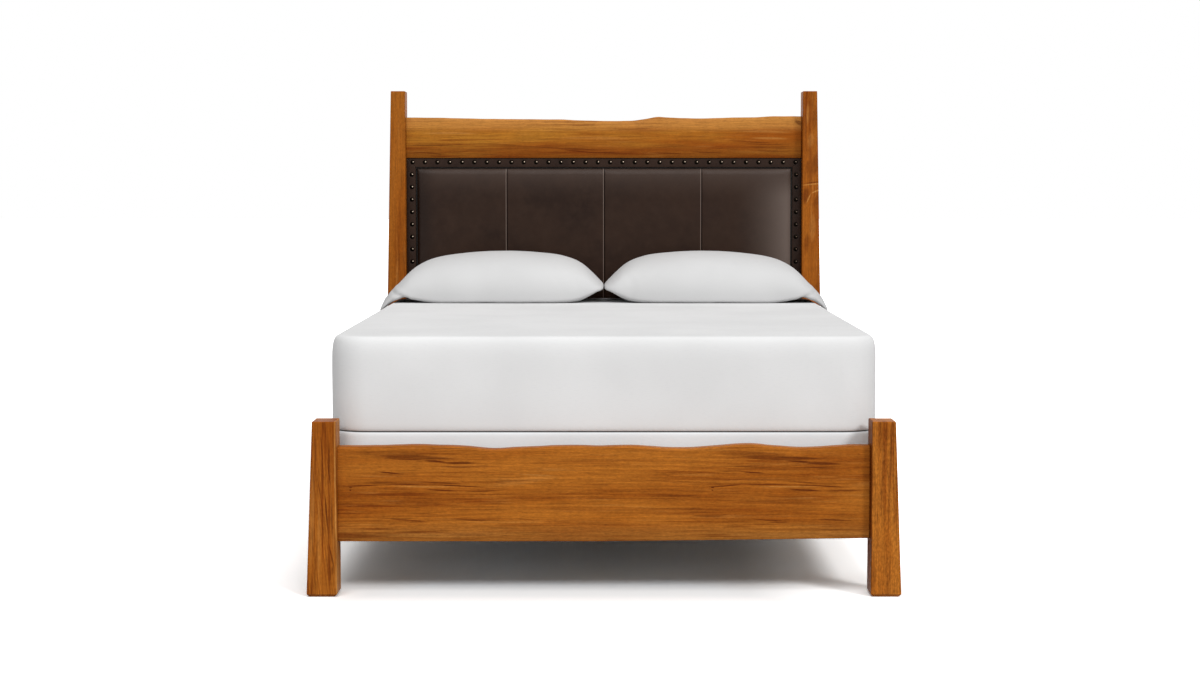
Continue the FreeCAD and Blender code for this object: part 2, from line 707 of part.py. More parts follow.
def hanger_screw_places(wall, direction):
    spread = mm("Sizes.hanger_screw_spread / 2")
    height = mm(f"{BEAM_BOTTOM} + Sizes.beam_thickness / 2")
    turn = pointing(Vector(0, direction, 0))
    face = wall - direction * mm("Sizes.hanger_sheet")
    return [Placement(Vector(sign * spread, face, height), turn) for sign in (-1, 1)]


def cleat_screw_places(side):
    """Screws from a cleat into its rail, on the side given by a sign."""
    count = round(mm("Sizes.cleat_screw_count"))
    reach = mm(f"{POST_FACE} - Sizes.slat_end_margin / 2")
    height = mm(f"{SLAT_BOTTOM} - Sizes.cleat_height / 2")
    inner = side * mm(f"{RAIL_INNER} - Sizes.cleat_width")
    turn = pointing(Vector(side, 0, 0))
    return [Placement(Vector(inner, reach * (2 * i / (count - 1) - 1), height), turn)
            for i in range(count)]


def slat_screw_places():
    """One screw down through each end of each slat into its cleat."""
    out = mm(f"{RAIL_INNER} - Sizes.screw_margin")
    turn = pointing(Vector(0, 0, -1))
    return [Placement(Vector(side * out, place, mm("Sizes.slat_top")), turn)
            for place in slat_places() for side in (-1, 1)]


# Centre legs and levelling feet

def leg_place(index):
    return mm("Sizes.leg_first") + index * mm("Sizes.leg_spacing")


def leg_body(name, place):
    """A square leg with a dowel into the beam and a bore for the levelling stud."""
    body = new_body(name)
    half = "Sizes.leg_width / 2"
    column = block(body, "AdditiveBox", name + "_column", (f"-{half}", half), (f"-{half}", half),
                   ("Sizes.leg_clearance", BEAM_BOTTOM))
    doc.recompute()
    low = edges_where(column, lambda edge: is_level_at(edge, mm("Sizes.leg_clearance")))
    soften(body, "Chamfer", name + "_lower_bevel", column, low, "Sizes.leg_bevel")
    dowel = body.newObject("PartDesign::AdditiveCylinder", name + "_dowel")
    bore = body.newObject("PartDesign::SubtractiveCylinder", name + "_bore")
    for feature in (dowel, bore):
        feature.AttachmentSupport = [(origin_plane(body, "XY_Plane"), "")]
        feature.MapMode = "FlatFace"
    bind(dowel, Radius="Sizes.leg_dowel_radius", Height="Sizes.leg_dowel_length + Sizes.overrun")
    dowel.setExpression("AttachmentOffset.Base.z", f"{BEAM_BOTTOM} - Sizes.overrun")
    bind(bore, Radius="Sizes.stud_radius + Sizes.stud_play",
         Height="Sizes.stud_bore_depth + Sizes.overrun")
    bore.setExpression("AttachmentOffset.Base.z", "Sizes.leg_clearance - Sizes.overrun")
    body.Placement = Placement(Vector(0, place, 0), Rotation())
    doc.recompute()
    return body


def foot_shape():
    """A levelling foot: a flat disc on the floor with its threaded stud standing on it."""
    radius = mm("Sizes.foot_radius")
    height = mm("Sizes.foot_height")
    bevel = mm("Sizes.foot_bevel")
    stud = mm("Sizes.stud_radius")
    top = height + mm("Sizes.stud_length")
    points = [
        Vector(0, 0, 0), Vector(radius - bevel, 0, 0), Vector(radius, 0, bevel),
        Vector(radius, 0, height - bevel), Vector(radius - bevel, 0, height), Vector(stud, 0, height),
        Vector(stud, 0, top - stud / 4), Vector(stud * 3 / 4, 0, top), Vector(0, 0, top), Vector(0, 0, 0),
    ]
    return Part.Face(Part.makePolygon(points)).revolve(Vector(), Z_AXIS, FULL_TURN)


# Upholstered panel

def border_corners(side, outer, inner):
    """The mitred corners of one side of the border between two insets from the opening."""
    low, high = "Sizes.panel_rail_top", "Sizes.crest_bottom"
    half = HALF_INNER
    return {
        "top": [(f"-{half} + {outer}", f"{high} - {outer}"), (f"{half} - {outer}", f"{high} - {outer}"),
                (f"{half} - {inner}", f"{high} - {inner}"), (f"-{half} + {inner}", f"{high} - {inner}")],
        "bottom": [(f"-{half} + {outer}", f"{low} + {outer}"), (f"-{half} + {inner}", f"{low} + {inner}"),
                   (f"{half} - {inner}", f"{low} + {inner}"), (f"{half} - {outer}", f"{low} + {outer}")],
        "left": [(f"-{half} + {outer}", f"{low} + {outer}"), (f"-{half} + {outer}", f"{high} - {outer}"),
                 (f"-{half} + {inner}", f"{high} - {inner}"), (f"-{half} + {inner}", f"{low} + {inner}")],
        "right": [(f"{half} - {outer}", f"{low} + {outer}"), (f"{half} - {inner}", f"{low} + {inner}"),
                  (f"{half} - {inner}", f"{high} - {inner}"), (f"{half} - {outer}", f"{high} - {outer}")],
    }[side]


def inner_front_edges(feature, side):
    """The edges of a leather strip along the pad, at the strip's front face."""
    front = mm(BORDER_FRONT)
    inset = mm("Sizes.border_width")
    half = mm(HALF_INNER) - inset
    line = {"top": mm("Sizes.crest_bottom") - inset, "bottom": mm("Sizes.panel_rail_top") + inset,
            "left": -half, "right": half}[side]

    def test(edge):
        box = edge.BoundBox
        if not (near(box.YMin, front) and near(box.YMax, front)):
            return False
        if side in ("top", "bottom"):
            return near(box.ZMin, line) and near(box.ZMax, line)
        return near(box.XMin, line) and near(box.XMax, line)

    return edges_where(feature, test)


def border_side(side, holes):
    """One wrapped side of the border: its wood core and the leather over its front and inner edge."""
    core = new_body("core_" + side)
    sketch = outline(core, f"core_{side}_outline", border_corners(side, "0", CORE_WIDTH), CORE_FRONT)
    extrude(core, "Pad", f"core_{side}_pad", sketch, "Sizes.border_core")
    strip = new_body("leather_" + side)
    sketch = outline(strip, f"leather_{side}_outline",
                     border_corners(side, "0", "Sizes.border_width"), BORDER_FRONT)
    pad = extrude(strip, "Pad", f"leather_{side}_pad", sketch,
                  "Sizes.border_core + Sizes.leather_thickness")
    soften(strip, "Fillet", f"leather_{side}_edge", pad, inner_front_edges(pad, side),
           "Sizes.border_round")
    sketch = outline(strip, f"leather_{side}_hollow", border_corners(side, "0", CORE_WIDTH), BOARD_FRONT)
    extrude(strip, "Pocket", f"leather_{side}_wrap", sketch, "Sizes.border_core")
    keep(cut(core, holes, "core_" + side), "border_core_" + side)
    keep(cut(strip, holes, "leather_" + side), "border_leather_" + side)


def nail_shape(play):
    """A domed nail, its dome's rim in the plane of the leather and its shank along +Y."""
    radius = mm("Sizes.nail_radius")
    rise = mm("Sizes.nail_rise")
    shank = mm("Sizes.nail_shank_radius") + play
    length = mm("Sizes.nail_shank_length") + play
    if play:
        start = Vector(0, -mm("Sizes.overrun"), 0)
        return Part.makeCylinder(shank, length + mm("Sizes.overrun"), start, Y_AXIS)
    bulge_out, bulge_fall = roll_middle(radius, rise)
    middle = Vector(bulge_out, bulge_fall - rise, 0)
    crown = Vector(0, -rise, 0)
    rim = Vector(radius, 0, 0)
    profile = Part.Wire([
        Part.Arc(crown, middle, rim).toShape(),
        Part.makeLine(rim, Vector(shank, 0, 0)),
        Part.makeLine(Vector(shank, 0, 0), Vector(shank, length - shank, 0)),
        Part.makeLine(Vector(shank, length - shank, 0), Vector(0, length, 0)),
        Part.makeLine(Vector(0, length, 0), crown),
    ])
    return Part.Face(profile).revolve(Vector(), Y_AXIS, FULL_TURN)


def nail_places(side):
    """Where the nails of one side of the border sit. The rows own the corner nails."""
    half = mm(HALF_INNER)
    row_top = mm("Sizes.crest_bottom - Sizes.nail_row_inset")
    row_low = mm("Sizes.panel_rail_top + Sizes.nail_row_inset")
    front = mm(BORDER_FRONT)
    if side in ("top", "bottom"):
        height = row_top if side == "top" else row_low
        reach = half - mm("Sizes.nail_corner_inset")
        count = round(mm("Sizes.nails_in_row"))
        return [Vector(reach * (2 * i / (count - 1) - 1), front, height) for i in range(count)]
    x = (half - mm("Sizes.nail_side_inset")) * (1 if side == "right" else -1)
    count = round(mm("Sizes.nails_in_side"))
    pitch = (row_top - row_low) / (count + 1)
    return [Vector(x, front, row_low + pitch * (i + 1)) for i in range(count)]


def pad_section(x, depth, edge_depth, inset):
    """The pad's section at x: flat on the board, low at its edges and crowned over a long roll."""
    board = mm(BOARD_FRONT)
    low = mm(PAD_BOTTOM) + inset
    high = mm(PAD_TOP) - inset
    roll = mm("Sizes.pad_roll") - inset
    front = board - depth + inset
    rim = board - edge_depth + inset
    bulge_z, bulge_fall = roll_middle(roll, rim - front)
    bulge_y = front + bulge_fall
    corners = [Vector(x, board, low), Vector(x, board, high), Vector(x, rim, high),
               Vector(x, front, high - roll), Vector(x, front, low + roll), Vector(x, rim, low)]
    return Part.Wire([
        Part.makeLine(corners[0], corners[1]),
        Part.makeLine(corners[1], corners[2]),
        Part.Arc(corners[2], Vector(x, bulge_y, high - roll + bulge_z), corners[3]).toShape(),
        Part.makeLine(corners[3], corners[4]),
        Part.Arc(corners[4], Vector(x, bulge_y, low + roll - bulge_z), corners[5]).toShape(),
        Part.makeLine(corners[5], corners[0]),
    ])


def pad_crown(distance, edge_depth):
    """How deep the pad is at a distance in from its left or right edge."""
    depth = mm("Sizes.pad_depth")
    roll = mm("Sizes.pad_roll")
    rise = depth - edge_depth
    radius = (rise ** 2 + roll ** 2) / (2 * rise)
    if distance >= roll:
        return depth
    return depth - radius + math.sqrt(radius ** 2 - (roll - distance) ** 2)


def channel_stations(left, right, inset):
    """Places along a channel between two seams or edges, with the pad's depth and rim there."""
    edge = mm(PAD_HALF)
    draw = mm("Sizes.seam_draw")
    seam = mm("Sizes.seam_depth")
    rim = mm("Sizes.pad_edge_depth")
    stations = []
    if near(left, -edge):
        for share in PAD_ROLL_SHARES:
            distance = max(share * mm("Sizes.pad_roll"), inset)
            stations.append((left + distance, max(pad_crown(distance, rim), rim + seam / 8), rim))
    else:
        stations += [(left + inset, mm("Sizes.pad_depth") - seam, rim - seam),
                     (left + draw / 4, mm("Sizes.pad_depth") - seam / 3, rim - seam / 3),
                     (left + draw, mm("Sizes.pad_depth"), rim)]
    stations.append(((left + right) / 2, mm("Sizes.pad_depth"), rim))
    if near(right, edge):
        for share in reversed(PAD_ROLL_SHARES):
            distance = max(share * mm("Sizes.pad_roll"), inset)
            stations.append((right - distance, max(pad_crown(distance, rim), rim + seam / 8), rim))
    else:
        stations += [(right - draw, mm("Sizes.pad_depth"), rim),
                     (right - draw / 4, mm("Sizes.pad_depth") - seam / 3, rim - seam / 3),
                     (right - inset, mm("Sizes.pad_depth") - seam, rim - seam)]
    return stations


def pad_channels(inset):
    """The four sewn channels of the pad, each its own loft, drawn in by an inset."""
    edge = mm(PAD_HALF)
    spacing = mm("Sizes.seam_spacing")
    bounds = [-edge, -spacing, 0, spacing, edge]
    channels = []
    for left, right in zip(bounds, bounds[1:]):
        sections = [pad_section(x, depth, rim, inset)
                    for x, depth, rim in channel_stations(left, right, inset)]
        channels.append(Part.makeLoft(sections, True, True))
    return channels


# Bedding

def rounded_rectangle(half_x, half_y, radius, height):
    """A wire of four lines and four quarter arcs at a height."""
    edges = []
    diagonal = radius * math.sqrt(0.5)
    corners = [(1, -1), (1, 1), (-1, 1), (-1, -1)]
    arcs = []
    for sx, sy in corners:
        centre = Vector(sx * (half_x - radius), sy * (half_y - radius), height)
        on_x = centre + Vector(sx * radius, 0, 0)
        on_y = centre + Vector(0, sy * radius, 0)
        middle = centre + Vector(sx * diagonal, sy * diagonal, 0)
        first, last = (on_y, on_x) if sx == -sy else (on_x, on_y)
        arcs.append((first, middle, last))
    for i, (first, middle, last) in enumerate(arcs):
        edges.append(Part.Arc(first, middle, last).toShape())
        edges.append(Part.makeLine(last, arcs[(i + 1) % len(arcs)][0]))
    return Part.Wire(edges)


def bedding_form(side, bottom, height, draw, roll, inset):
    """A mattress or foundation: upright sides that draw in towards the flat top and bottom."""
    half_x = side - inset
    half_y = mm("Sizes.mattress_length / 2") - inset
    corner = mm("Sizes.mattress_corner") - inset
    low, high = bottom + inset, bottom + height - inset
    levels = [(low + roll * (1 - along), draw * drawn) for along, drawn in reversed(EDGE_ROLL_SHARES)]
    levels += [(high - roll * (1 - along), draw * drawn) for along, drawn in EDGE_ROLL_SHARES]
    sections = [rounded_rectangle(half_x - drawn, half_y - drawn, corner - drawn, z)
                for z, drawn in levels]
    return Part.makeLoft(sections, True, True)


def bedding_cover(side, bottom, height, draw, roll, cover):
    """The cover of a mattress or foundation, as a closed shell."""
    outer = bedding_form(side, bottom, height, draw, roll, 0)
    inner = bedding_form(side, bottom, height, draw, roll, cover)
    return outer.cut(inner)


def foundation_frame():
    """The wood frame in the foundation: four boards on edge and a row of cross slats."""
    cover = mm("Sizes.foundation_cover + Sizes.foundation_draw + Sizes.rest_gap")
    half_x = mm(FOUNDATION_SIDE) - cover
    half_y = mm("Sizes.mattress_length / 2") - cover
    corner = mm("Sizes.mattress_corner") - cover
    board = mm("Sizes.foundation_board")
    low = mm(FOUNDATION_BOTTOM) + mm("Sizes.foundation_cover + Sizes.rest_gap")
    high = mm(f"{FOUNDATION_BOTTOM} + Sizes.foundation_height - Sizes.foundation_cover - Sizes.rest_gap")
    outer = Part.Face(rounded_rectangle(half_x, half_y, corner, low))
    inner = Part.Face(rounded_rectangle(half_x - board, half_y - board, corner - board, low))
    ring = outer.cut(inner).extrude(Vector(0, 0, high - low))
    count = round(mm("Sizes.foundation_cross_slats"))
    width = mm("Sizes.cross_slat_width")
    reach = half_y - corner - width / 2
    slats = []
    for i in range(count):
        y = reach * (2 * i / (count - 1) - 1)
        start = Vector(board / 2 - half_x, y - width / 2, high - board)
        slats.append(Part.makeBox(2 * half_x - board, width, board, start))
    return ring.multiFuse(slats).removeSplitter()


def pillow_section(x, front, back, front_seam, back_seam, under, crown):
    """A pillow's section at x: a crowned top between two seams and a flat underside."""
    depth = back - front
    crown_y = front + depth * PILLOW_CROWN_SHARE
    front_along, front_fall = roll_middle(crown_y - front, crown - front_seam)
    back_along, back_fall = roll_middle(back - crown_y, crown - back_seam)
    start, end = Vector(x, front, front_seam), Vector(x, back, back_seam)
    middle = Vector(x, crown_y, crown)
    low_front = Vector(x, front + depth * PILLOW_FRONT_REST_SHARE, under)
    low_back = Vector(x, front + depth * PILLOW_BACK_REST_SHARE, under)
    return Part.Wire([
        Part.Arc(start, Vector(x, crown_y - front_along, crown - front_fall), middle).toShape(),
        Part.Arc(middle, Vector(x, crown_y + back_along, crown - back_fall), end).toShape(),
        Part.makeLine(end, low_back),
        Part.makeLine(low_back, low_front),
        Part.makeLine(low_front, start),
    ])


def pillow_shape():
    """The right-hand pillow, from its inner end to the tip that droops past the mattress."""
    width = mm("Sizes.pillow_width")
    depth = mm("Sizes.pillow_depth")
    tall = mm("Sizes.pillow_height")
    floor = mm(f"{MATTRESS_TOP} + Sizes.rest_gap")
    crown_y = mm(f"{BOARD_FRONT} - Sizes.pad_depth - Sizes.pillow_to_head")
    front = crown_y - depth
    sections = [pillow_section(width * along, front + depth * near_end, front + depth * far_end,
                               floor + tall * front_seam, floor + tall * back_seam,
                               floor + tall * under, floor + tall * crown)
                for along, near_end, far_end, front_seam, back_seam, under, crown in PILLOW_SHARES]
    return Part.makeLoft(sections, True, True)


# Footboard and headboard

panel, crest, panel_rail, stretcher = make_boards()

foot_post = post("foot_post", "Sizes.foot_post_height", "Sizes.foot_post_top_width",
                 [("panel_mortise", *mortise_spans("Sizes.foot_setback", *FOOT_TENON))])
plate_recess(foot_post, "Sizes.post_depth", -1)
stand_post(foot_post, f"-{BED_END}")

head_post = post("head_post", "Sizes.head_post_height", "Sizes.head_post_top_width",
                 [("crest_mortise", *mortise_spans("Sizes.head_setback", *CREST_TENON)),
                  ("panel_rail_mortise", *mortise_spans("Sizes.head_setback", *PANEL_RAIL_TENON)),
                  ("stretcher_mortise", *mortise_spans("Sizes.head_setback", *STRETCHER_TENON))])
plate_recess(head_post, "0", 1)
stand_post(head_post, POST_FACE)

# Screws of the plates and hangers, which share one size

face = mm(POST_FACE)
right_plate_screws = []
for end in (-1, 1):
    for into in (-end, end):
        right_plate_screws += plate_screw_places(end * face, into)
left_plate_screws = [Placement(Vector(-place.Base.x, place.Base.y, place.Base.z), place.Rotation)
                     for place in right_plate_screws]
hanger_screws = hanger_screw_places(mm(FOOT_BACK), -1) + hanger_screw_places(mm(HEAD_FRONT), 1)
hardware_screws, hardware_holes = screws(
    "plate_screw_length", right_plate_screws + left_plate_screws + hanger_screws, "hardware_screws")
keep(hardware_screws, "hardware_screws")
# The waving slab is bored on its own shape, which keeps both saddle screws' holes at every width
bored_panel = shaped("footboard_panel_bored", panel.Shape.cut(hardware_holes.Shape))
keep(bored_panel, "footboard_panel")
keep(crest, "crest_rail")
keep(panel_rail, "panel_rail")
keep(cut(stretcher, hardware_holes, "head_stretcher"), "head_stretcher")
for name, body in (("foot_post", foot_post), ("head_post", head_post)):
    right_post = keep(cut(body, hardware_holes, name), name + "_right")
    mirrored(right_post, name + "_left")

for end, place, into in (("foot", f"-{POST_FACE}", -1), ("head", POST_FACE, 1)):
    plate = post_plate(f"{end}_post_plate", place, into)
    hooks = hook_plate(f"{end}_hook_plate", place, into)
    for name, body in (("post_plate", plate), ("hook_plate", hooks)):
        right = keep(cut(body, hardware_holes, f"{name}_{end}"), f"{name}_{end}_right")
        mirrored(right, f"{name}_{end}_left")

# Side rails, cleats and slats

cleat_places = cleat_screw_places(1) + cleat_screw_places(-1)
cleat_screws, cleat_holes = screws("cleat_screw_length", cleat_places, "cleat_screws")
keep(cleat_screws, "cleat_screws")
slat_screws, slat_holes = screws("slat_screw_length", slat_screw_places(), "slat_screws")
keep(slat_screws, "slat_screws")
rail_holes = doc.addObject("Part::Compound", "rail_holes")
rail_holes.Links = [hardware_holes, cleat_holes]
right_rail = keep(cut(rail_body(), rail_holes, "side_rail"), "side_rail_right")
mirrored(right_rail, "side_rail_left")
cleat = plain_box("slat_cleat", (f"{RAIL_INNER} - Sizes.cleat_width", RAIL_INNER),
                  (f"-{POST_FACE}", POST_FACE), (f"{SLAT_BOTTOM} - Sizes.cleat_height", SLAT_BOTTOM))
cleat_bores = doc.addObject("Part::Compound", "cleat_bores")
cleat_bores.Links = [cleat_holes, slat_holes]
right_cleat = keep(cut(cleat, cleat_bores, "slat_cleat"), "slat_cleat_right")
mirrored(right_cleat, "slat_cleat_left")
for index, place in enumerate(slat_places(), start=1):
    slat = slat_body(f"slat_{index}_board", place)
    keep(cut(slat, slat_holes, f"slat_{index}"), f"slat_{index}")

# Centre beam, its hangers, legs and levelling feet

beam_start = f"({FOOT_BACK} + Sizes.hanger_sheet)"
beam_end = f"({HEAD_FRONT} - Sizes.hanger_sheet)"
beam_box = plain_box("centre_beam", ("-Sizes.beam_width / 2", "Sizes.beam_width / 2"),
                     (beam_start, beam_end), (BEAM_BOTTOM, SLAT_BOTTOM))
dowel_holes = []
for index in range(2):
    hole = Part.makeCylinder(mm("Sizes.leg_dowel_radius + Sizes.tenon_play"),
                             mm("Sizes.leg_dowel_length + Sizes.tenon_end_room + Sizes.overrun"),
                             Vector(0, leg_place(index), mm(f"{BEAM_BOTTOM} - Sizes.overrun")))
    dowel_holes.append(hole)
beam_holes = shaped("beam_holes", Part.makeCompound(dowel_holes + [
    screw_hole for screw_hole in hardware_holes.Shape.Solids
    if abs(screw_hole.BoundBox.Center.x) < mm("Sizes.beam_width / 2")]))
keep(cut(beam_box, beam_holes, "centre_beam"), "centre_beam")
keep(cut(hanger_body("foot_hanger", FOOT_BACK, "+"), hardware_holes, "foot_hanger"), "beam_hanger_foot")
keep(cut(hanger_body("head_hanger", HEAD_FRONT, "-"), hardware_holes, "head_hanger"), "beam_hanger_head")
for index in range(2):
    number = index + 1
    keep(leg_body(f"leg_{number}", leg_place(index)), f"centre_leg_{number}")
    foot = shaped(f"levelling_foot_{number}", foot_shape())
    foot.Placement = Placement(Vector(0, leg_place(index), 0), Rotation())
    keep(foot, f"levelling_foot_{number}")

# Upholstered panel: back board, stops, border, nails, foam and leather

board_half = f"({HALF_INNER} - Sizes.board_play)"
keep(plain_box("back_board", (f"-{board_half}", board_half),
               (BOARD_FRONT, f"{BOARD_FRONT} + Sizes.board_thickness"),
               ("Sizes.panel_rail_top + Sizes.board_play", "Sizes.crest_bottom - Sizes.board_play")),
     "back_board")
stop_y = (f"{HEAD_BACK} - Sizes.stop_depth", HEAD_BACK)
stop_low = ("Sizes.panel_rail_top", "Sizes.panel_rail_top + Sizes.stop_width")
stop_high = ("Sizes.crest_bottom - Sizes.stop_width", "Sizes.crest_bottom")
across = (f"-{HALF_INNER}", HALF_INNER)
between = (stop_low[1], stop_high[0])
keep(plain_box("panel_stop_top", across, stop_y, stop_high), "panel_stop_top")
keep(plain_box("panel_stop_bottom", across, stop_y, stop_low), "panel_stop_bottom")
keep(plain_box("panel_stop_left", (f"-{HALF_INNER}", f"-{HALF_INNER} + Sizes.stop_width"), stop_y,
               between), "panel_stop_left")
keep(plain_box("panel_stop_right", (f"{HALF_INNER} - Sizes.stop_width", HALF_INNER), stop_y,
               between), "panel_stop_right")

for side in ("top", "bottom", "left", "right"):
    places = [Placement(place, Rotation()) for place in nail_places(side)]
    holes = shaped(f"nail_holes_{side}", copies(nail_shape(mm("Sizes.nail_play")), places))
    border_side(side, holes)
    keep(shaped("nails_" + side, copies(nail_shape(0), places)), "nails_" + side)

foam_channels = pad_channels(mm("Sizes.leather_thickness"))
leather_channels = [outer.cut(inner) for outer, inner in zip(pad_channels(0), foam_channels)]
keep(shaped("panel_foam", Part.makeCompound(foam_channels)), "panel_foam")
keep(shaped("leather_cover", Part.makeCompound(leather_channels)), "leather_cover")

# Foundation, mattress and pillows

mattress = (mm(MATTRESS_SIDE), mm(MATTRESS_BOTTOM), mm("Sizes.mattress_thickness"),
            mm("Sizes.mattress_draw"), mm("Sizes.mattress_roll"))
foundation = (mm(FOUNDATION_SIDE), mm(FOUNDATION_BOTTOM), mm("Sizes.foundation_height"),
              mm("Sizes.foundation_draw"), mm("Sizes.foundation_roll"))
keep(shaped("foundation_frame", foundation_frame()), "foundation_frame")
keep(shaped("foundation_cover", bedding_cover(*foundation, mm("Sizes.foundation_cover"))),
     "foundation_cover")
keep(shaped("mattress_core", bedding_form(*mattress, mm("Sizes.mattress_cover + Sizes.rest_gap"))),
     "mattress_core")
keep(shaped("mattress_cover", bedding_cover(*mattress, mm("Sizes.mattress_cover"))),
     "mattress_cover")
right_pillow = keep(shaped("pillow_right", pillow_shape()), "pillow_right")
mirrored(right_pillow, "pillow_left")

# Check every object, then write one file for each sub-part

doc.recompute()
for item in doc.Objects:
    if "Invalid" in item.State or "Error" in item.State:
        raise RuntimeError(f"{item.Label} failed: {item.State}")
labels = [item.Label for item in subparts]
if len(set(labels)) != len(labels):
    raise RuntimeError("two sub-parts share a label")
for item in subparts:
    if item.Shape.isNull() or not item.Shape.isValid():
        raise RuntimeError(f"{item.Label} has no valid shape")
    if not item.Shape.Solids:
        raise RuntimeError(f"{item.Label} holds no solid")

os.makedirs("parts", exist_ok=True)
for item in subparts:
    item.Shape.exportStep(os.path.join("parts", item.Label + ".step"))
print(len(subparts), "sub-parts written")
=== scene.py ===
import math

import bmesh
import bpy
import numpy as np
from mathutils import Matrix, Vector
from mathutils.noise import noise as random_at


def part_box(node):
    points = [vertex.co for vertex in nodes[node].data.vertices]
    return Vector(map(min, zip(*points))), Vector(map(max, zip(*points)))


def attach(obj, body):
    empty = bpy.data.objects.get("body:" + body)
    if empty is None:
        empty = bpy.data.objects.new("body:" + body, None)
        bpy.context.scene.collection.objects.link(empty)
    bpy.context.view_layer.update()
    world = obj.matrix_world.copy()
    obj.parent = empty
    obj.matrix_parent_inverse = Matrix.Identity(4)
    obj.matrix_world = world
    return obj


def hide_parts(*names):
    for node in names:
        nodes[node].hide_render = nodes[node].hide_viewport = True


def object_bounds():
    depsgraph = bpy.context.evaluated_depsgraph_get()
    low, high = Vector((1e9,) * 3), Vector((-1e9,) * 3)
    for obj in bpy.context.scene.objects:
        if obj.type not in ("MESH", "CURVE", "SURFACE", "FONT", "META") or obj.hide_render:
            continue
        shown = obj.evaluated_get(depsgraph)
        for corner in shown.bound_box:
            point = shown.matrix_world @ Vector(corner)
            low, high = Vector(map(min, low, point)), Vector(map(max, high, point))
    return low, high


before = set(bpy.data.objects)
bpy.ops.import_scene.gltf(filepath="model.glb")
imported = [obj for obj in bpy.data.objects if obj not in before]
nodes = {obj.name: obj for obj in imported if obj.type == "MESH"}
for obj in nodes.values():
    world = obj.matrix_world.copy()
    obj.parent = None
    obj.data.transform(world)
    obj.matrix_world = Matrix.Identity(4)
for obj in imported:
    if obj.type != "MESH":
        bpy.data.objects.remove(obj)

# Live edge bed, seen from its foot end. Metres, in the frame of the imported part: +X right,
# +Y from the footboard to the headboard, +Z up.

cad_low, cad_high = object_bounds()
scene = bpy.context.scene
MM = 0.001
QUARTER = math.pi / 2
HALF_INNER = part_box("head_post_right")[0].x
BOARD_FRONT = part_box("back_board")[0].y
FOUNDATION_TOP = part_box("foundation_cover")[1].z
MATTRESS_LOW, MATTRESS_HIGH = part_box("mattress_cover")


def srgb(red, green, blue):
    """A colour written in 0 to 255 steps, as the linear values that shaders take."""
    steps = (red / 255, green / 255, blue / 255)
    linear = [s / 12.92 if s <= 0.04045 else ((s + 0.055) / 1.055) ** 2.4 for s in steps]
    return (*linear, 1)


# Shader nodes

class Nodes:
    """Short calls for the nodes of a tree."""

    def __init__(self, tree):
        self.tree = tree

    def node(self, kind, inputs=None, **settings):
        made = self.tree.nodes.new(kind)
        for key, value in settings.items():
            setattr(made, key, value)
        for key, value in (inputs or {}).items():
            self.feed(made.inputs[key], value)
        return made

    def feed(self, socket, value):
        if isinstance(value, bpy.types.NodeSocket):
            self.tree.links.new(value, socket)
        else:
            socket.default_value = value

    def math(self, operation, first, second=0):
        return self.node("ShaderNodeMath", {0: first, 1: second}, operation=operation).outputs[0]

    def product(self, first, *others):
        for other in others:
            first = self.math("MULTIPLY", first, other)
        return first

    def total(self, first, *others):
        for other in others:
            first = self.math("ADD", first, other)
        return first

    def scaled(self, value, factor, offset=0):
        inputs = {0: value, 1: factor, 2: offset}
        return self.node("ShaderNodeMath", inputs, operation="MULTIPLY_ADD").outputs[0]

    def vector_math(self, operation, first, second=(0, 0, 0)):
        made = self.node("ShaderNodeVectorMath", {0: first, 1: second}, operation=operation)
        return made.outputs["Value" if operation == "LENGTH" else "Vector"]

    def axes(self, vector):
        return self.node("ShaderNodeSeparateXYZ", {0: vector}).outputs

    def joined(self, x, y, z=0):
        return self.node("ShaderNodeCombineXYZ", {0: x, 1: y, 2: z}).outputs[0]

    def noise(self, vector, seed, scale=1, detail=3, roughness=0.5, distortion=0):
        inputs = {"Vector": vector, "W": seed, "Scale": scale, "Detail": detail,
                  "Roughness": roughness, "Distortion": distortion}
        return self.node("ShaderNodeTexNoise", inputs, noise_dimensions="4D").outputs[0]

    def voronoi(self, vector, scale, **settings):
        inputs = {"Vector": vector, "Scale": scale}
        return self.node("ShaderNodeTexVoronoi", inputs, **settings).outputs["Distance"]

    def fit(self, value, low, high, to_low=0, to_high=1, smooth=True):
        inputs = {"Value": value, "From Min": low, "From Max": high, "To Min": to_low,
                  "To Max": to_high}
        kind = "SMOOTHSTEP" if smooth else "LINEAR"
        return self.node("ShaderNodeMapRange", inputs, interpolation_type=kind).outputs[0]

    def mix(self, share, first, second, blend="MIX"):
        inputs = {0: share, 6: first, 7: second}
        return self.node("ShaderNodeMix", inputs, data_type="RGBA", blend_type=blend).outputs[2]


class Finish(Nodes):
    """A material under construction."""

    def __init__(self, name):
        self.material = bpy.data.materials.new(name)
        self.material.use_nodes = True
        super().__init__(self.material.node_tree)
        self.shader = self.tree.nodes["Principled BSDF"]
        self.place = self.node("ShaderNodeTexCoord").outputs["Object"]

    def stretched(self, scales):
        return self.vector_math("MULTIPLY", self.place, scales)

    def along_grain(self, grain, across, lengthways):
        scales = [across] * len(GRAIN_AXES)
        scales[GRAIN_AXES[grain][0]] = lengthways
        return self.stretched(tuple(scales))

    def bump(self, height, distance, strength):
        inputs = {"Height": height, "Distance": distance, "Strength": strength}
        return self.node("ShaderNodeBump", inputs).outputs[0]

    def finish(self, color, roughness, normal, **others):
        inputs = {"Base Color": color, "Roughness": roughness, "Normal": normal, **others}
        for key, value in inputs.items():
            self.feed(self.shader.inputs[key.replace("_", " ")], value)
        return self.material


# Wood

PALE = srgb(190, 129, 62)
GOLD = srgb(170, 111, 36)
HONEY = srgb(172, 102, 32)
AMBER = srgb(146, 77, 17)
RUSSET = srgb(110, 48, 7)
DARK = srgb(84, 31, 4)
UMBER = srgb(68, 25, 4)

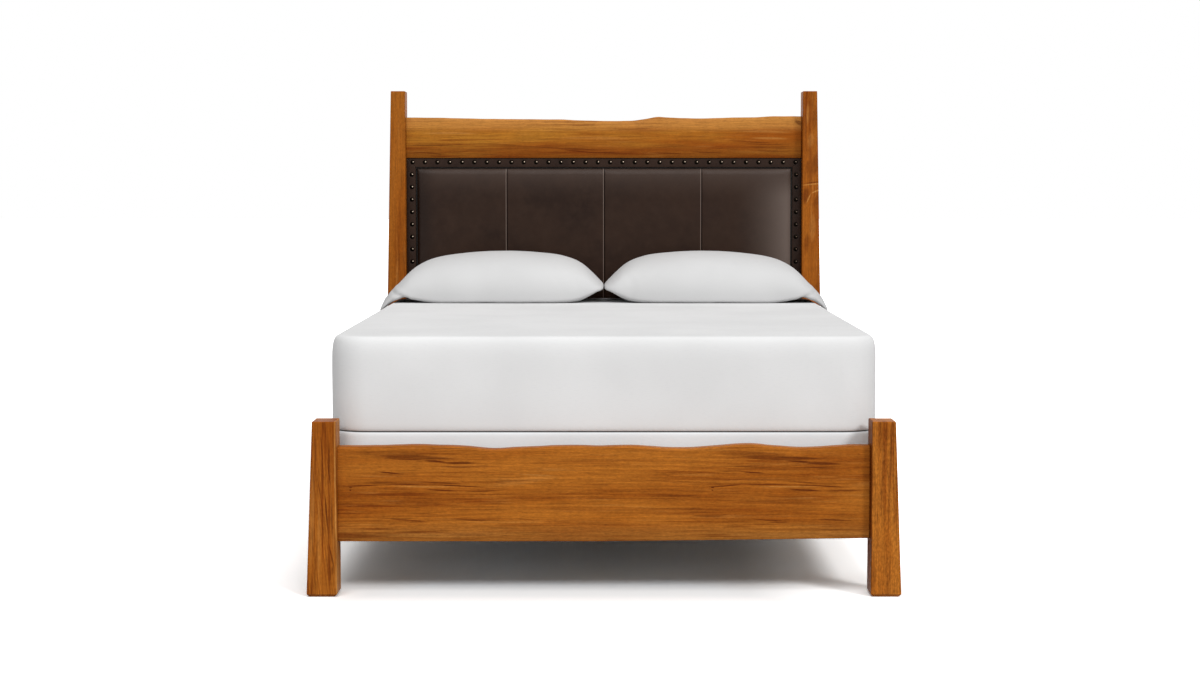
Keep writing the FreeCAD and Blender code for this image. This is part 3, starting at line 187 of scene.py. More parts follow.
# The axes along the grain, across it on a board's face, and into the board
GRAIN_AXES = {"X": (0, 2, 1), "Y": (1, 2, 0), "Z": (2, 0, 1)}

# Textures of oiled wood: scales across and along the grain, seed, detail, roughness, distortion
WOOD_TEXTURES = {
    "wave": (26, 4.5, 0.4, 2, 0.5, 0), "drift": (3, 0.8, 3.1, 1, 0.5, 0),
    "zone": (9, 1.2, 1.3, 3, 0.6, 0.4), "patch": (5, 1.1, 7.7, 2, 0.5, 0),
    "fine": (120, 3.6, 5.2, 4, 0.6, 0.2), "bright": (95, 4.2, 8.8, 3, 0.6, 0),
    "thin": (210, 5.5, 2.6, 2, 0.5, 0), "grit": (300, 7, 2.2, 3, 0.7, 0),
    "fibre": (430, 11, 9.4, 5, 0.7, 0), "curl": (11, 26, 12.5, 2, 0.5, 1),
    "spots": (250, 95, 14, 3, 0.7, 0), "pore": (900, 42, 11, 2, 0.5, 0),
}
WAVE_REACH = 12 * MM
DRIFT_REACH = 100 * MM
DEPTH_LEAN = 0.7
# Growth lines: how much closer than the pitch, and how strong
GROWTH_LINES = ((1, 0.5), (2.9, 0.3))
YEAR_SEED, YEAR_SCALE, YEAR_STRETCH = 20, 0.73, 1.6
CALM_CORE_SHARE = 0.4
WOOD_RELIEF = 0.22 * MM


def streak_group():
    """How much a long thin streak covers a place."""
    group = bpy.data.node_groups.new("streak", "ShaderNodeTree")
    for socket in ("Run", "Rise", "Along", "Middle", "Across", "Level", "Slope", "Strength"):
        group.interface.new_socket(socket, in_out="INPUT", socket_type="NodeSocketFloat")
    group.interface.new_socket("Share", in_out="OUTPUT", socket_type="NodeSocketFloat")
    g = Nodes(group)
    given = g.node("NodeGroupInput").outputs
    along = g.scaled(given["Run"], given["Along"], given["Middle"])
    across = g.scaled(given["Rise"], given["Across"], given["Level"])
    across = g.total(across, g.product(given["Run"], given["Slope"]))
    away = g.vector_math("LENGTH", g.joined(along, across))
    g.node("NodeGroupOutput", {"Share": g.fit(away, 0.4, 1, given["Strength"], 0)})
    return group


STREAK = streak_group()


def streak_share(f, streaks, run, rise):
    """How much streaks cover a place. Each has its start and its end, along and across the grain,
    and its half thickness in millimetres, then its strength."""
    most = None
    for *lengths, strength in streaks:
        start, start_across, stop, stop_across, half = [length * MM for length in lengths]
        middle, reach = (start + stop) / 2, (stop - start) / 2
        slope = (stop_across - start_across) / (stop - start)
        level = (start_across + stop_across) / 2 - slope * middle
        inputs = {"Run": run, "Rise": rise, "Along": 1 / reach, "Middle": -middle / reach,
                  "Across": 1 / half, "Level": -level / half, "Slope": -slope / half,
                  "Strength": strength}
        share = f.node("ShaderNodeGroup", inputs, node_tree=STREAK).outputs[0]
        most = share if most is None else f.math("MAXIMUM", most, share)
    return most


def wood(name, grain, seed, light=HONEY, deep=AMBER, lean=0, pitch=58, lines=1, speckle=0,
         marks=(), glints=(), layers=(), calm=None):
    """Oiled hardwood with its grain along an axis. Its growth lines have a pitch per metre and a
    lean, marks are dark streaks and glints pale ones, a layer changes the tone between two heights,
    and a calm length, given by its middle, reach and share, has fewer lines."""
    f = Finish(name)
    axes = f.axes(f.place)
    run, up, depth = [axes[axis] for axis in GRAIN_AXES[grain]]

    def texture(kind):
        across, lengthways, offset, *settings = WOOD_TEXTURES[kind]
        return f.noise(f.along_grain(grain, across, lengthways), seed + offset, 1, *settings)

    def sway(kind, reach):
        return f.scaled(texture(kind), reach, -reach / 2)

    rise = f.total(up, sway("wave", WAVE_REACH))
    lie = f.total(f.scaled(depth, DEPTH_LEAN), rise, f.scaled(run, lean), sway("drift", DRIFT_REACH))
    color = f.mix(f.fit(texture("zone"), 0.36, 0.64), deep, light)
    for low, high, tone, strength in layers:
        color = f.mix(f.fit(rise, low * MM, high * MM, 0, strength), color, tone)

    patch = f.fit(texture("patch"), 0.36, 0.62, 0.12, 1)
    if calm is not None:
        middle, reach, share = calm
        apart = f.math("ABSOLUTE", f.math("SUBTRACT", run, middle))
        patch = f.product(patch, f.fit(apart, CALM_CORE_SHARE * reach, reach, 1 - share, 1))
    for closeness, strength in GROWTH_LINES:
        level = f.scaled(lie, pitch * closeness)
        ring = f.math("FRACT", level)
        late = f.product(f.fit(ring, 0.3, 0.94), f.fit(ring, 1, 0.95))
        year = f.joined(f.math("FLOOR", level), f.scaled(run, YEAR_STRETCH))
        year = f.noise(year, seed + YEAR_SEED, scale=YEAR_SCALE, detail=0)
        year = f.fit(year, 0.36, 0.64, 0.1, 1)
        color = f.mix(f.product(late, year, patch, strength * lines), color, RUSSET)

    fine = f.product(f.fit(texture("fine"), 0.51, 0.63), patch, 0.8)
    color = f.mix(fine, color, RUSSET)
    color = f.mix(f.fit(texture("bright"), 0.56, 0.74, 0, 0.34), color, PALE)
    thin = f.product(f.fit(texture("thin"), 0.61, 0.70), patch, 0.7)
    color = f.mix(thin, color, UMBER)

    grit = f.fit(texture("grit"), 0.36, 0.56, 0.6, 1)
    for streaks, tone in ((glints, PALE), (marks, DARK)):
        if streaks:
            color = f.mix(f.product(streak_share(f, streaks, run, rise), grit), color, tone)

    fibre = texture("fibre")
    shade = f.product(f.fit(fibre, 0.3, 0.7, 0.7, 1.3, smooth=False),
                      f.fit(texture("curl"), 0.3, 0.7, 0.95, 1.05, smooth=False),
                      f.fit(texture("spots"), 0.35, 0.65, 1 - speckle, 1 + speckle, smooth=False))
    color = f.mix(1, color, f.joined(shade, shade, shade), blend="MULTIPLY")
    pore = texture("pore")
    color = f.mix(f.fit(pore, 0.60, 0.70, 0, 0.45), color, UMBER)
    rough = f.fit(fibre, 0.25, 0.75, 0.5, 0.38)
    height = f.math("SUBTRACT", f.product(fibre, 0.7), f.fit(pore, 0.58, 0.70, 0, 0.9))
    return f.finish(color, rough, f.bump(height, WOOD_RELIEF, 0.5), Specular_IOR_Level=0.06)


def sawn_wood(name, grain, seed):
    """Unfinished softwood for what lies hidden under the bedding."""
    f = Finish(name)
    band = f.noise(f.along_grain(grain, 9, 0.7), seed, distortion=0.6)
    lines = f.math("FRACT", f.product(band, 9))
    fibre = f.noise(f.along_grain(grain, 160, 4), seed + 4, detail=4, roughness=0.65)
    color = f.mix(f.math("POWER", lines, 2.5), srgb(214, 180, 130), srgb(178, 130, 76))
    color = f.mix(f.fit(fibre, 0.3, 0.75, 0, 0.45), color, srgb(158, 116, 70))
    knot = f.voronoi(f.along_grain(grain, 3.15, 0.245), 1)
    color = f.mix(f.fit(knot, 0.02, 0.06, 0.8, 0), color, srgb(104, 62, 30))
    return f.finish(color, f.fit(fibre, 0.2, 0.8, 0.78, 0.62), f.bump(fibre, 0.5 * MM, 0.6))


def plywood(name):
    """Sanded plywood, painted dark as shade on the side that the leather pad is glued to, where it
    shows in the gap round the pad.
    """
    f = Finish(name)
    figure = f.noise(f.stretched((1, 6, 10)), 3, distortion=1.4)
    lines = f.math("FRACT", f.product(figure, 12))
    fibre = f.noise(f.stretched((5, 160, 210)), 5, detail=4, roughness=0.65)
    color = f.mix(lines, srgb(206, 168, 118), srgb(184, 140, 90))
    color = f.mix(f.fit(fibre, 0.3, 0.75, 0, 0.5), color, srgb(150, 108, 64))
    front = f.axes(f.place)[1]
    # Painted shade on the front face, seen in the gap round the pad
    painted_shade_face = f.fit(front, BOARD_FRONT + MM, BOARD_FRONT + 2 * MM, 1, 0)
    color = f.mix(painted_shade_face, color, srgb(22, 17, 14))
    return f.finish(color, 0.66, f.bump(fibre, 0.3 * MM, 0.5))


# Leather, metals and cloth

# Where the pad's painted sheen on its right side, painted highlight along its top and painted
# shade on its left side start and end
SHEEN_START, SHEEN_EDGE, SHADE_START = 0.46, 6 * MM, -0.60
SHEEN_FAINT, SHEEN_FULL = 12 * MM, 110 * MM
TOP_HIGHLIGHT_FAINT, TOP_HIGHLIGHT_FULL = 120 * MM, 8 * MM
# Painted highlight and painted shadow beside a seam, for its groove's lit and shaded walls: places beside
# it and tones
SEAM_HIGHLIGHT_AND_SHADOW = ((-2 * MM, srgb(112, 97, 89)), (1.7 * MM, srgb(12, 7, 5)))
SEAM_PAINT_HALF = 1.8 * MM


def leather(name, seed, seams=()):
    """Dark brown leather: cloudy colour, fine pebbles and a soft sheen. A pad has seams with a painted
    highlight and a painted shadow beside each, a painted sheen towards its right edge, a painted
    highlight along its top and painted shade towards its left edge."""
    f = Finish(name)
    cloud = f.noise(f.place, seed, scale=5, detail=4, roughness=0.6)
    patch = f.noise(f.place, seed + 2, scale=22, roughness=0.6)
    color = f.mix(f.fit(cloud, 0.3, 0.7), srgb(33, 19, 12), srgb(45, 29, 20))
    color = f.mix(f.fit(patch, 0.35, 0.75, 0, 0.5), color, srgb(51, 35, 26))
    if seams:
        across, _, height = f.axes(f.place)
        low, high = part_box("leather_cover")
        # Painted sheen on the pad's right side, fainter near its top
        painted_sheen = f.math("POWER", f.fit(across, SHEEN_START, high.x - SHEEN_EDGE, smooth=False), 2.2)
        below = f.fit(height, high.z - SHEEN_FAINT, high.z - SHEEN_FULL, 0.35, 1)
        color = f.mix(f.product(painted_sheen, below), color, srgb(101, 88, 81))
        # Painted highlight along the pad's top
        top = f.fit(height, high.z - TOP_HIGHLIGHT_FAINT, high.z - TOP_HIGHLIGHT_FULL, smooth=False)
        color = f.mix(f.product(f.math("POWER", top, 1.5), 0.5), color, srgb(74, 60, 53))
        # Painted shade towards the pad's left edge
        color = f.mix(f.fit(across, SHADE_START, low.x, 0, 0.6), color, srgb(22, 13, 9))
        # A painted highlight and a painted shadow beside each seam
        for seam in seams:
            for offset, tone in SEAM_HIGHLIGHT_AND_SHADOW:
                off = f.math("ABSOLUTE", f.math("SUBTRACT", across, seam + offset))
                share = f.fit(off, 0.3 * SEAM_PAINT_HALF, SEAM_PAINT_HALF, 0.95, 0)
                color = f.mix(share, color, tone)
    pebble = f.voronoi(f.place, 720, feature="DISTANCE_TO_EDGE")
    crease = f.noise(f.place, seed + 4, scale=90, detail=6, roughness=0.7)
    grain = f.total(f.fit(pebble, 0, 0.35), f.product(crease, 1.6))
    rough = f.fit(patch, 0.3, 0.75, 0.38, 0.3)
    return f.finish(color, rough, f.bump(grain, 0.3 * MM, 0.4), Specular_IOR_Level=0.12)


def aged_brass(name):
    """Dark patinated nail heads with rubbed crowns set to the right and above, wear and a painted
    highlight in one: their meshes say where the crown is.
    """
    f = Finish(name)
    crown = f.node("ShaderNodeAttribute", attribute_name="crown").outputs["Fac"]
    patina = f.noise(f.place, 2, scale=330, detail=4, roughness=0.65)
    dents = f.noise(f.place, 6, scale=190, detail=2)
    color = f.mix(f.fit(patina, 0.35, 0.7), srgb(10, 8, 6), srgb(26, 20, 15))
    # Rubbed crowns, pale as wear and as a painted highlight on the side that the key light comes from
    worn_and_highlight = f.fit(f.total(crown, f.scaled(patina, 0.35, -0.18)), 0.45, 0.85)
    color = f.mix(worn_and_highlight, color, srgb(176, 158, 139))
    return f.finish(color, f.fit(patina, 0.3, 0.7, 0.42, 0.32), f.bump(dents, 1.2 * MM, 0.3),
                    Metallic=f.fit(worn_and_highlight, 0, 1, 1, 0.6))


def zinc_steel(name):
    """Zinc plated hardware with faint crystals."""
    f = Finish(name)
    grain = f.node("ShaderNodeTexVoronoi", {"Vector": f.place, "Scale": 260}).outputs["Color"]
    value = f.node("ShaderNodeSeparateColor", {0: grain}).outputs[0]
    brushed = f.noise(f.stretched((900, 900, 20)), 1, detail=2)
    color = f.mix(value, srgb(150, 152, 156), srgb(182, 184, 186))
    rough = f.fit(brushed, 0.3, 0.7, 0.3, 0.45)
    return f.finish(color, rough, f.bump(brushed, 0.08 * MM, 0.4), Metallic=1)


def cloth(name, color, threads, depth, seed, painted_shade):
    """Woven cotton: crossed threads per metre, a slight slub and a matt finish. Painted shade, in
    grey, darkens it between two heights by its share."""
    f = Finish(name)
    x, y, z = f.axes(f.place)
    wave = [f.math("SINE", f.product(axis, threads)) for axis in (x, y, z)]
    weave = f.total(f.product(wave[0], wave[2]), f.product(wave[0], wave[1]))
    slub = f.noise(f.stretched((60, 60, 420)), seed)
    cloud = f.noise(f.place, seed + 3, scale=3, detail=2)
    pale = tuple(min(1, c * 1.03) for c in color[:3]) + (1,)
    deep = tuple(c * 0.965 for c in color[:3]) + (1,)
    shade = f.mix(f.fit(cloud, 0.3, 0.7), deep, pale)
    shade = f.mix(f.fit(slub, 0.5, 0.75, 0, 0.12), shade, srgb(196, 196, 198))
    start, stop, share = painted_shade
    # Painted shade in grey between two heights
    shade = f.mix(f.fit(z, start, stop, 0, share), shade, srgb(74, 74, 77))
    height = f.total(weave, f.product(slub, 1.5))
    return f.finish(shade, 0.86, f.bump(height, depth, 0.35), Sheen_Weight=0.12,
                    Sheen_Roughness=0.5, Specular_IOR_Level=0.2)


# Meshes

MERGE = 0.01 * MM
SEED_STEP = 17.3


def add_object(name, data):
    made = bpy.data.objects.new(name, data)
    scene.collection.objects.link(made)
    return made


def add_mesh(name, points, faces, material, smooth=True):
    mesh = bpy.data.meshes.new(name)
    mesh.from_pydata([tuple(map(float, p)) for p in points], [], faces)
    mesh.validate()
    mesh.materials.append(material)
    mesh.polygons.foreach_set("use_smooth", [smooth] * len(mesh.polygons))
    return add_object(name, mesh)


def outward(made):
    """Turn a closed mesh's faces outward, and merge doubled points."""
    work = bmesh.new()
    work.from_mesh(made.data)
    bmesh.ops.remove_doubles(work, verts=work.verts, dist=MERGE)
    bmesh.ops.recalc_face_normals(work, faces=work.faces)
    work.to_mesh(made.data)
    work.free()
    return made


def place_piece(made, body, slot, *replaced):
    """Ride a piece on its body, in place of the CAD's nodes."""
    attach(made, body)
    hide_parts(*replaced)


def grid_faces(rows, columns, wrap_columns):
    """Quads over a grid of points numbered row by row."""
    faces = []
    last = columns if wrap_columns else columns - 1
    for i in range(rows - 1):
        near, far = i * columns, (i + 1) * columns
        for j in range(last):
            k = (j + 1) % columns
            faces.append((near + j, far + j, far + k, near + k))
    return faces


def tube_mesh(name, rows, material):
    """A closed mesh through equal loops of points, with a face over each end loop."""
    columns = len(rows[0])
    points = [p for row in rows for p in row]
    faces = grid_faces(len(rows), columns, True)
    faces.append(tuple(range(columns)))
    faces.append(tuple((len(rows) - 1) * columns + j for j in reversed(range(columns))))
    return outward(add_mesh(name, points, faces, material))


def apply_modifiers(made):
    """Put what an object's modifiers make into its mesh."""
    graph = bpy.context.evaluated_depsgraph_get()
    final = bpy.data.meshes.new_from_object(made.evaluated_get(graph))
    made.modifiers.clear()
    old = made.data
    made.data = final
    bpy.data.meshes.remove(old)
    return made


def wobble(x, y, z, scale, seed):
    """Smooth random heights from -1 to 1 or so, the same on each run."""
    return random_at(Vector((x / scale, y / scale, z / scale + SEED_STEP * seed)))


def smooth_curve(places, values, at):
    """A smooth curve through points."""
    slopes = np.gradient(values, places)
    index = np.clip(np.searchsorted(places, at) - 1, 0, len(places) - 2)
    after = index + 1
    span = places[after] - places[index]
    t = (at - places[index]) / span
    ease = t * t * (3 - 2 * t)
    bend = t * (1 - t) * span * ((1 - t) * slopes[index] - t * slopes[after])
    return values[index] * (1 - ease) + values[after] * ease + bend


def waves(x, z, shapes, seed):
    """The sum of wavy shapes, each given by its height, its layer and its length."""
    return sum(height * wobble(x, layer, z, length, seed) for height, layer, length in shapes)


# Live edge slabs

SLAB_STATIONS = 460
SLAB_EASE = 2.2 * MM
FACE_SHARES = (0.25, 0.5, 0.75)
ROUND_SHARES = np.linspace(0, 1, 9)
BARK_DENT, DENT_LENGTH = 0.5 * MM, 0.03
RIM_WAVES = ((0.7 * MM, 0, 0.045),)
BARK_WAVES = ((0.28, 1, 0.16), (0.12, 2, 0.04))
FRONT_WAVES = ((0.35, 3, 0.13),)
BACK_WAVES = ((0.35, 4, 0.15),)


def edge_lines(node):
    """The top and bottom lines of a slab's solid between the posts: places, tops and undersides."""
    tops, lows = {}, {}
    for vertex in nodes[node].data.vertices:
        x, _, z = vertex.co
        if abs(x) > HALF_INNER + MM:
            continue
        key = round(x, 3)
        tops[key] = max(z, tops.get(key, z))
        lows[key] = min(z, lows.get(key, z))
    low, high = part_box(node)
    middle = (low.z + high.z) / 2
    places = [key for key in sorted(tops) if tops[key] > middle and lows[key] < middle]
    return np.array([(place, tops[place], lows[place]) for place in places]).T


def live_edge_slab(name, node, material, bark, inset, seed):
    """A slab between the posts, with the tree's waving edge above, rounded where its bark was."""
    low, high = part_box(node)
    places, tops, lows = edge_lines(node)
    stations = np.linspace(-HALF_INNER, HALF_INNER, SLAB_STATIONS)
    top_line = smooth_curve(places, tops, stations)
    low_line = np.interp(stations, places, lows)
    rows = []
    for x, top, under in zip(stations, top_line, low_line):
        rim = top + waves(x, 0, RIM_WAVES, seed)
        band = bark * (1 + waves(x, 0, BARK_WAVES, seed))
        front_in = inset * (1 + waves(x, 0, FRONT_WAVES, seed))
        back_in = inset * (1 + waves(x, 0, BACK_WAVES, seed))
        eased = under + SLAB_EASE
        face = rim - band - eased
        row = [(x, low.y + SLAB_EASE, under), (x, low.y, eased)]
        row += [(x, low.y, eased + face * share) for share in FACE_SHARES]
        for share in ROUND_SHARES:
            turn = share * QUARTER
            dent = BARK_DENT * math.sin(turn * 2) * wobble(x, 5 + share, 0, DENT_LENGTH, seed)
            row.append((x, low.y + front_in * (1 - math.cos(turn)) + dent,
                        rim - band * (1 - math.sin(turn))))
        for share in ROUND_SHARES[::-1]:
            turn = share * QUARTER
            row.append((x, high.y - back_in * (1 - math.cos(turn)), rim - band * (1 - math.sin(turn))))
        row += [(x, high.y, eased + face * share) for share in reversed(FACE_SHARES)]
        row += [(x, high.y, eased), (x, high.y - SLAB_EASE, under)]
        rows.append(row)
    place_piece(tube_mesh(name, rows, material), "bed_frame", "finished_wood", node)


# Leather panel

PAD_SEAMS = (-359 * MM, 0, 359 * MM)
PAD_RIM = 16 * MM
PAD_ROLL = 90 * MM
PAD_PITCH = 7.5 * MM
# The pad's turned-in edge: distances in from it and the leather's depth there, in mm
PAD_TURN = ((1.2, 0), (0.3, 2.5), (0, 6), (0.25, 8.6), (0.9, 10.2), (2, 11.6), (3.6, 13))
PAD_EDGE = 5 * MM
# Steps of the mesh away from a seam, in mm
SEAM_STEPS = (0, 0.5, 1, 1.6, 2.3, 3.2, 4.4, 6, 8.2, 11, 15, 20, 27)
SEAM_CLEAR = 30 * MM
SEAM_SET = 1.2 * MM
SEAM_DEPTH, SEAM_HALF = 3.4 * MM, 2 * MM
HOLLOW_DEPTH, HOLLOW_HALF = 1.3 * MM, 13 * MM
PUCKER_REACH, PUCKERS = 16 * MM, ((0.22 * MM, 0, 0.011),)
CREASE_DEPTH, CREASE_HALF, CREASE_LENGTH = 1.5 * MM, 2.6 * MM, 62 * MM
WIDE_SAG, FINE_SAG = ((0.5 * MM, 1, 0.13),), ((0.12 * MM, 2, 0.03),)


def crown_share(distance, roll):
    """How far a padded edge has risen at a distance in from it, from 0 to 1."""
    t = min(max(distance / roll, 0), 1)
    return math.sqrt(max(0, 1 - (1 - t) ** 2)) * 0.35 + (1 - (1 - t) ** 2) * 0.65


def pad_stations(low, high, seams):
    """Places across the pad, closest over edges and seams, and how deep it may be there."""
    free = 1
    places = set()
    for seam in seams:
        places.update(round(seam + sign * step * MM, 5) for step in SEAM_STEPS for sign in (-1, 1))
    for k in range(1, int((high - low) / PAD_PITCH)):
        place = low + k * PAD_PITCH
        if place < high - PAD_EDGE and all(abs(place - seam) > SEAM_CLEAR for seam in seams):
            places.add(round(place, 5))
    steps = [(low + inset * MM, depth * MM) for inset, depth in PAD_TURN]
    steps += [(place, free) for place in sorted(places) if low + PAD_EDGE < place < high - PAD_EDGE]
    steps += [(high - inset * MM, depth * MM) for inset, depth in reversed(PAD_TURN)]
    return steps


def make_pad():
    """The sewn leather cover: crowned over foam, with seams, puckers and creased corners."""
    low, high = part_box("leather_cover")
    rise = high.y - low.y - PAD_RIM
    across = pad_stations(low.x, high.x, PAD_SEAMS)
    upward = pad_stations(low.z, high.z, ())
    points = []
    for x, x_cap in across:
        to_side = min(x - low.x, high.x - x)
        to_seam = min(abs(x - seam - SEAM_SET) for seam in PAD_SEAMS)
        for z, z_cap in upward:
            to_end = min(z - low.z, high.z - z)
            depth = PAD_RIM + rise * crown_share(to_side, PAD_ROLL) * crown_share(to_end, PAD_ROLL)
            depth -= SEAM_DEPTH * math.exp(-(to_seam / SEAM_HALF) ** 2)
            depth -= HOLLOW_DEPTH * math.exp(-(to_seam / HOLLOW_HALF) ** 2)
            depth += math.exp(-to_seam / PUCKER_REACH) * waves(x, z, PUCKERS, 3)
            skew = abs(to_side - to_end) / math.sqrt(2)
            run = (to_side + to_end) / math.sqrt(2)
            crease = math.exp(-(skew / CREASE_HALF) ** 2) * max(0, 1 - run / CREASE_LENGTH)
            depth -= CREASE_DEPTH * crease
            depth -= abs(waves(x, z, WIDE_SAG, 4)) + abs(waves(x, z, FINE_SAG, 5))
            points.append((x, high.y - min(depth, x_cap, z_cap), z))
    rows, columns = len(across), len(upward)
    faces = grid_faces(rows, columns, False)
    rim = list(range(columns)) + [i * columns + columns - 1 for i in range(1, rows)]
    rim += [(rows - 1) * columns + j for j in reversed(range(columns - 1))]
    rim += [i * columns for i in reversed(range(1, rows - 1))]
    faces.append(tuple(rim))
    pad = outward(add_mesh("leather_pad", points, faces, pad_leather))
    place_piece(pad, "bed_frame", "dark_leather", "leather_cover")


NAIL_SIDES, NAIL_BANDS = 18, 7
NAIL_RADIUS, NAIL_RISE = 8 * MM, 5.8 * MM
NAIL_BACK, NAIL_SKIRT = 4.6 * MM, 0.4 * MM
NAIL_LEAN_X, NAIL_LEAN_Z, NAIL_DENTS = ((0.05, 7, 0.02),), ((0.05, 8, 0.02),), ((0.04, 9, 0.004),)
# The rubbed spot of a crown, wear and a painted highlight in one: its place to the right and above, and
# its reach
WORN_HIGHLIGHT_X, WORN_HIGHLIGHT_Z, WORN_HIGHLIGHT_REACH = 3 * MM, 1.2 * MM, 5.2 * MM


def nail_centres(node):
    """The crowns of a group of nails, each once, in the plane of the border."""
    low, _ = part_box(node)
    crowns = {}
    for vertex in nodes[node].data.vertices:
        if vertex.co.y < low.y + 0.05 * MM:
            crowns[(round(vertex.co.x, 3), round(vertex.co.z, 3))] = vertex.co
    return sorted((v.x, v.z) for v in crowns.values())


def make_nails(side, nails):
    """Domed nail heads, each a little off true, on a thin skirt."""
    low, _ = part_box("nails_" + side)
    base = low.y + NAIL_BACK
    points, faces, crowns = [], [], []
    for x, z in nails:
        first = len(points)
        lean_x, lean_z = waves(x, z, NAIL_LEAN_X, 7), waves(x, z, NAIL_LEAN_Z, 8)
        points.append((x, base + NAIL_SKIRT, z))
        crowns.append(0)
        for band in range(NAIL_BANDS):
            turn = QUARTER * (1 - band / NAIL_BANDS)
            out = NAIL_RADIUS * math.sin(turn)
            for k in range(NAIL_SIDES):
                angle = 2 * math.pi * k / NAIL_SIDES
                dx, dz = out * math.cos(angle), out * math.sin(angle)
                up = NAIL_RISE * math.cos(turn) * (1 + waves(x + dx, z + dz, NAIL_DENTS, 9))
                points.append((x + dx, base - up + lean_x * dx + lean_z * dz, z + dz))
                # How close each point is to the crown's rubbed spot, which is also a painted highlight
                crowns.append(max(0, 1 - math.hypot(dx - WORN_HIGHLIGHT_X, dz - WORN_HIGHLIGHT_Z) / WORN_HIGHLIGHT_REACH))
        points.append((x, base - NAIL_RISE, z))
        crowns.append(max(0, 1 - math.hypot(WORN_HIGHLIGHT_X, WORN_HIGHLIGHT_Z) / WORN_HIGHLIGHT_REACH))
        last = len(points) - 1
        for k in range(NAIL_SIDES):
            after = (k + 1) % NAIL_SIDES
            faces.append((first, first + 1 + after, first + 1 + k))
            for band in range(NAIL_BANDS - 1):
                a = first + 1 + band * NAIL_SIDES
                b = a + NAIL_SIDES
                faces.append((a + k, a + after, b + after, b + k))
            faces.append((last - NAIL_SIDES + k, last - NAIL_SIDES + after, last))
    heads = add_mesh("nail_heads_" + side, points, faces, nail_brass)
    heads.data.attributes.new("crown", "FLOAT", "POINT").data.foreach_set("value", crowns)
    place_piece(outward(heads), "bed_frame", "aged_brass", "nails_" + side)


# Places across a border's face from its outer edge, in mm
BORDER_STEPS = (0, 1, 2.5, 4.5, 7, 9.5, 12, 14.5, 17, 19.5, 22, 24.5, 27, 29, 31, 32.5)
BORDER_PITCH = 3.6 * MM
BORDER_PUFF = 1.1 * MM
BORDER_RIPPLE = ((0.12 * MM, 0, 0.009),)
NAIL_DRAWN, NAIL_NEAR = 11 * MM, 26 * MM


def make_border(side, nails):
    """A strip of leather that swells between its edges and is drawn down round each nail."""
    low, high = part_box("border_leather_" + side)
    level = side in ("top", "bottom")
    wide = (high.z - low.z) if level else (high.x - low.x)
    thick = high.y - low.y
    flat = BORDER_STEPS[-1] * MM
    edge = wide - flat
    profile = [(0, thick)] + [(step * MM, 0) for step in BORDER_STEPS]
    for share in (0.35, 0.7, 1):
        turn = share * QUARTER
        profile.append((flat + edge * math.sin(turn), edge * (1 - math.cos(turn))))
    profile += [(wide, thick * 0.6), (wide, thick)]
    start, end = (low.x, high.x) if level else (low.z, high.z)
    count = int((end - start) / BORDER_PITCH)
    rows = []
    for i in range(count + 1):
        row = []
        for inset, back in profile:
            along = start + inset + (end - start - 2 * inset) * (i / count)
            if level:
                x, z = along, (high.z - inset if side == "top" else low.z + inset)
            else:
                x, z = (low.x + inset if side == "left" else high.x - inset), along
            raised = 0
            if back == 0:
                raised = BORDER_PUFF * math.sin(math.pi * min(inset / wide, 1)) ** 0.7
                raised += waves(x, z, BORDER_RIPPLE, 6)
            sunk = 0
            for nail_x, nail_z in nails:
                apart = math.hypot(x - nail_x, z - nail_z)
                if apart < NAIL_NEAR:
                    sunk = max(sunk, math.exp(-(apart / NAIL_DRAWN) ** 4))
            row.append((x, low.y + back - raised * (1 - sunk), z))
        rows.append(row)
    strip = tube_mesh("border_" + side, rows, dark_leather)
    place_piece(strip, "bed_frame", "dark_leather", "border_leather_" + side)


# Bedding

RING_X, RING_Y, RING_CORNER = 44, 58, 12
# Depths below a rim where the rolled edge has its rings, in mm
EDGE_DEPTHS = (0, 0.4, 1.2, 2.5, 4.5, 7, 10, 14, 19, 25, 32, 40, 50, 61)
EDGE_END = 62 * MM
FLAT_RINGS, SIDE_RINGS = 13, 4
LEAST_CORNER = 4 * MM
SOFT_WAVES = ((1, 0.32), (0.3, 0.08))


def rounded_ring(half_x, half_y, corner, height):
    """Points round a rectangle with rounded corners, the same number for every size."""
    far_x, far_y = half_x - corner, half_y - corner
    centres = ((far_x, -far_y), (far_x, far_y), (-far_x, far_y), (-far_x, -far_y))
    points = []
    for i, (x, y) in enumerate(centres):
        after_x, after_y = centres[(i + 1) % len(centres)]
        run = RING_X if i % 2 else RING_Y
        steps = [(x, y, k / RING_CORNER) for k in range(RING_CORNER)]
        steps += [(x + (after_x - x) * k / run, y + (after_y - y) * k / run, 1) for k in range(run)]
        for centre_x, centre_y, share in steps:
            turn = (i - 1 + share) * QUARTER
            points.append((centre_x + corner * math.cos(turn), centre_y + corner * math.sin(turn), height))
    return points


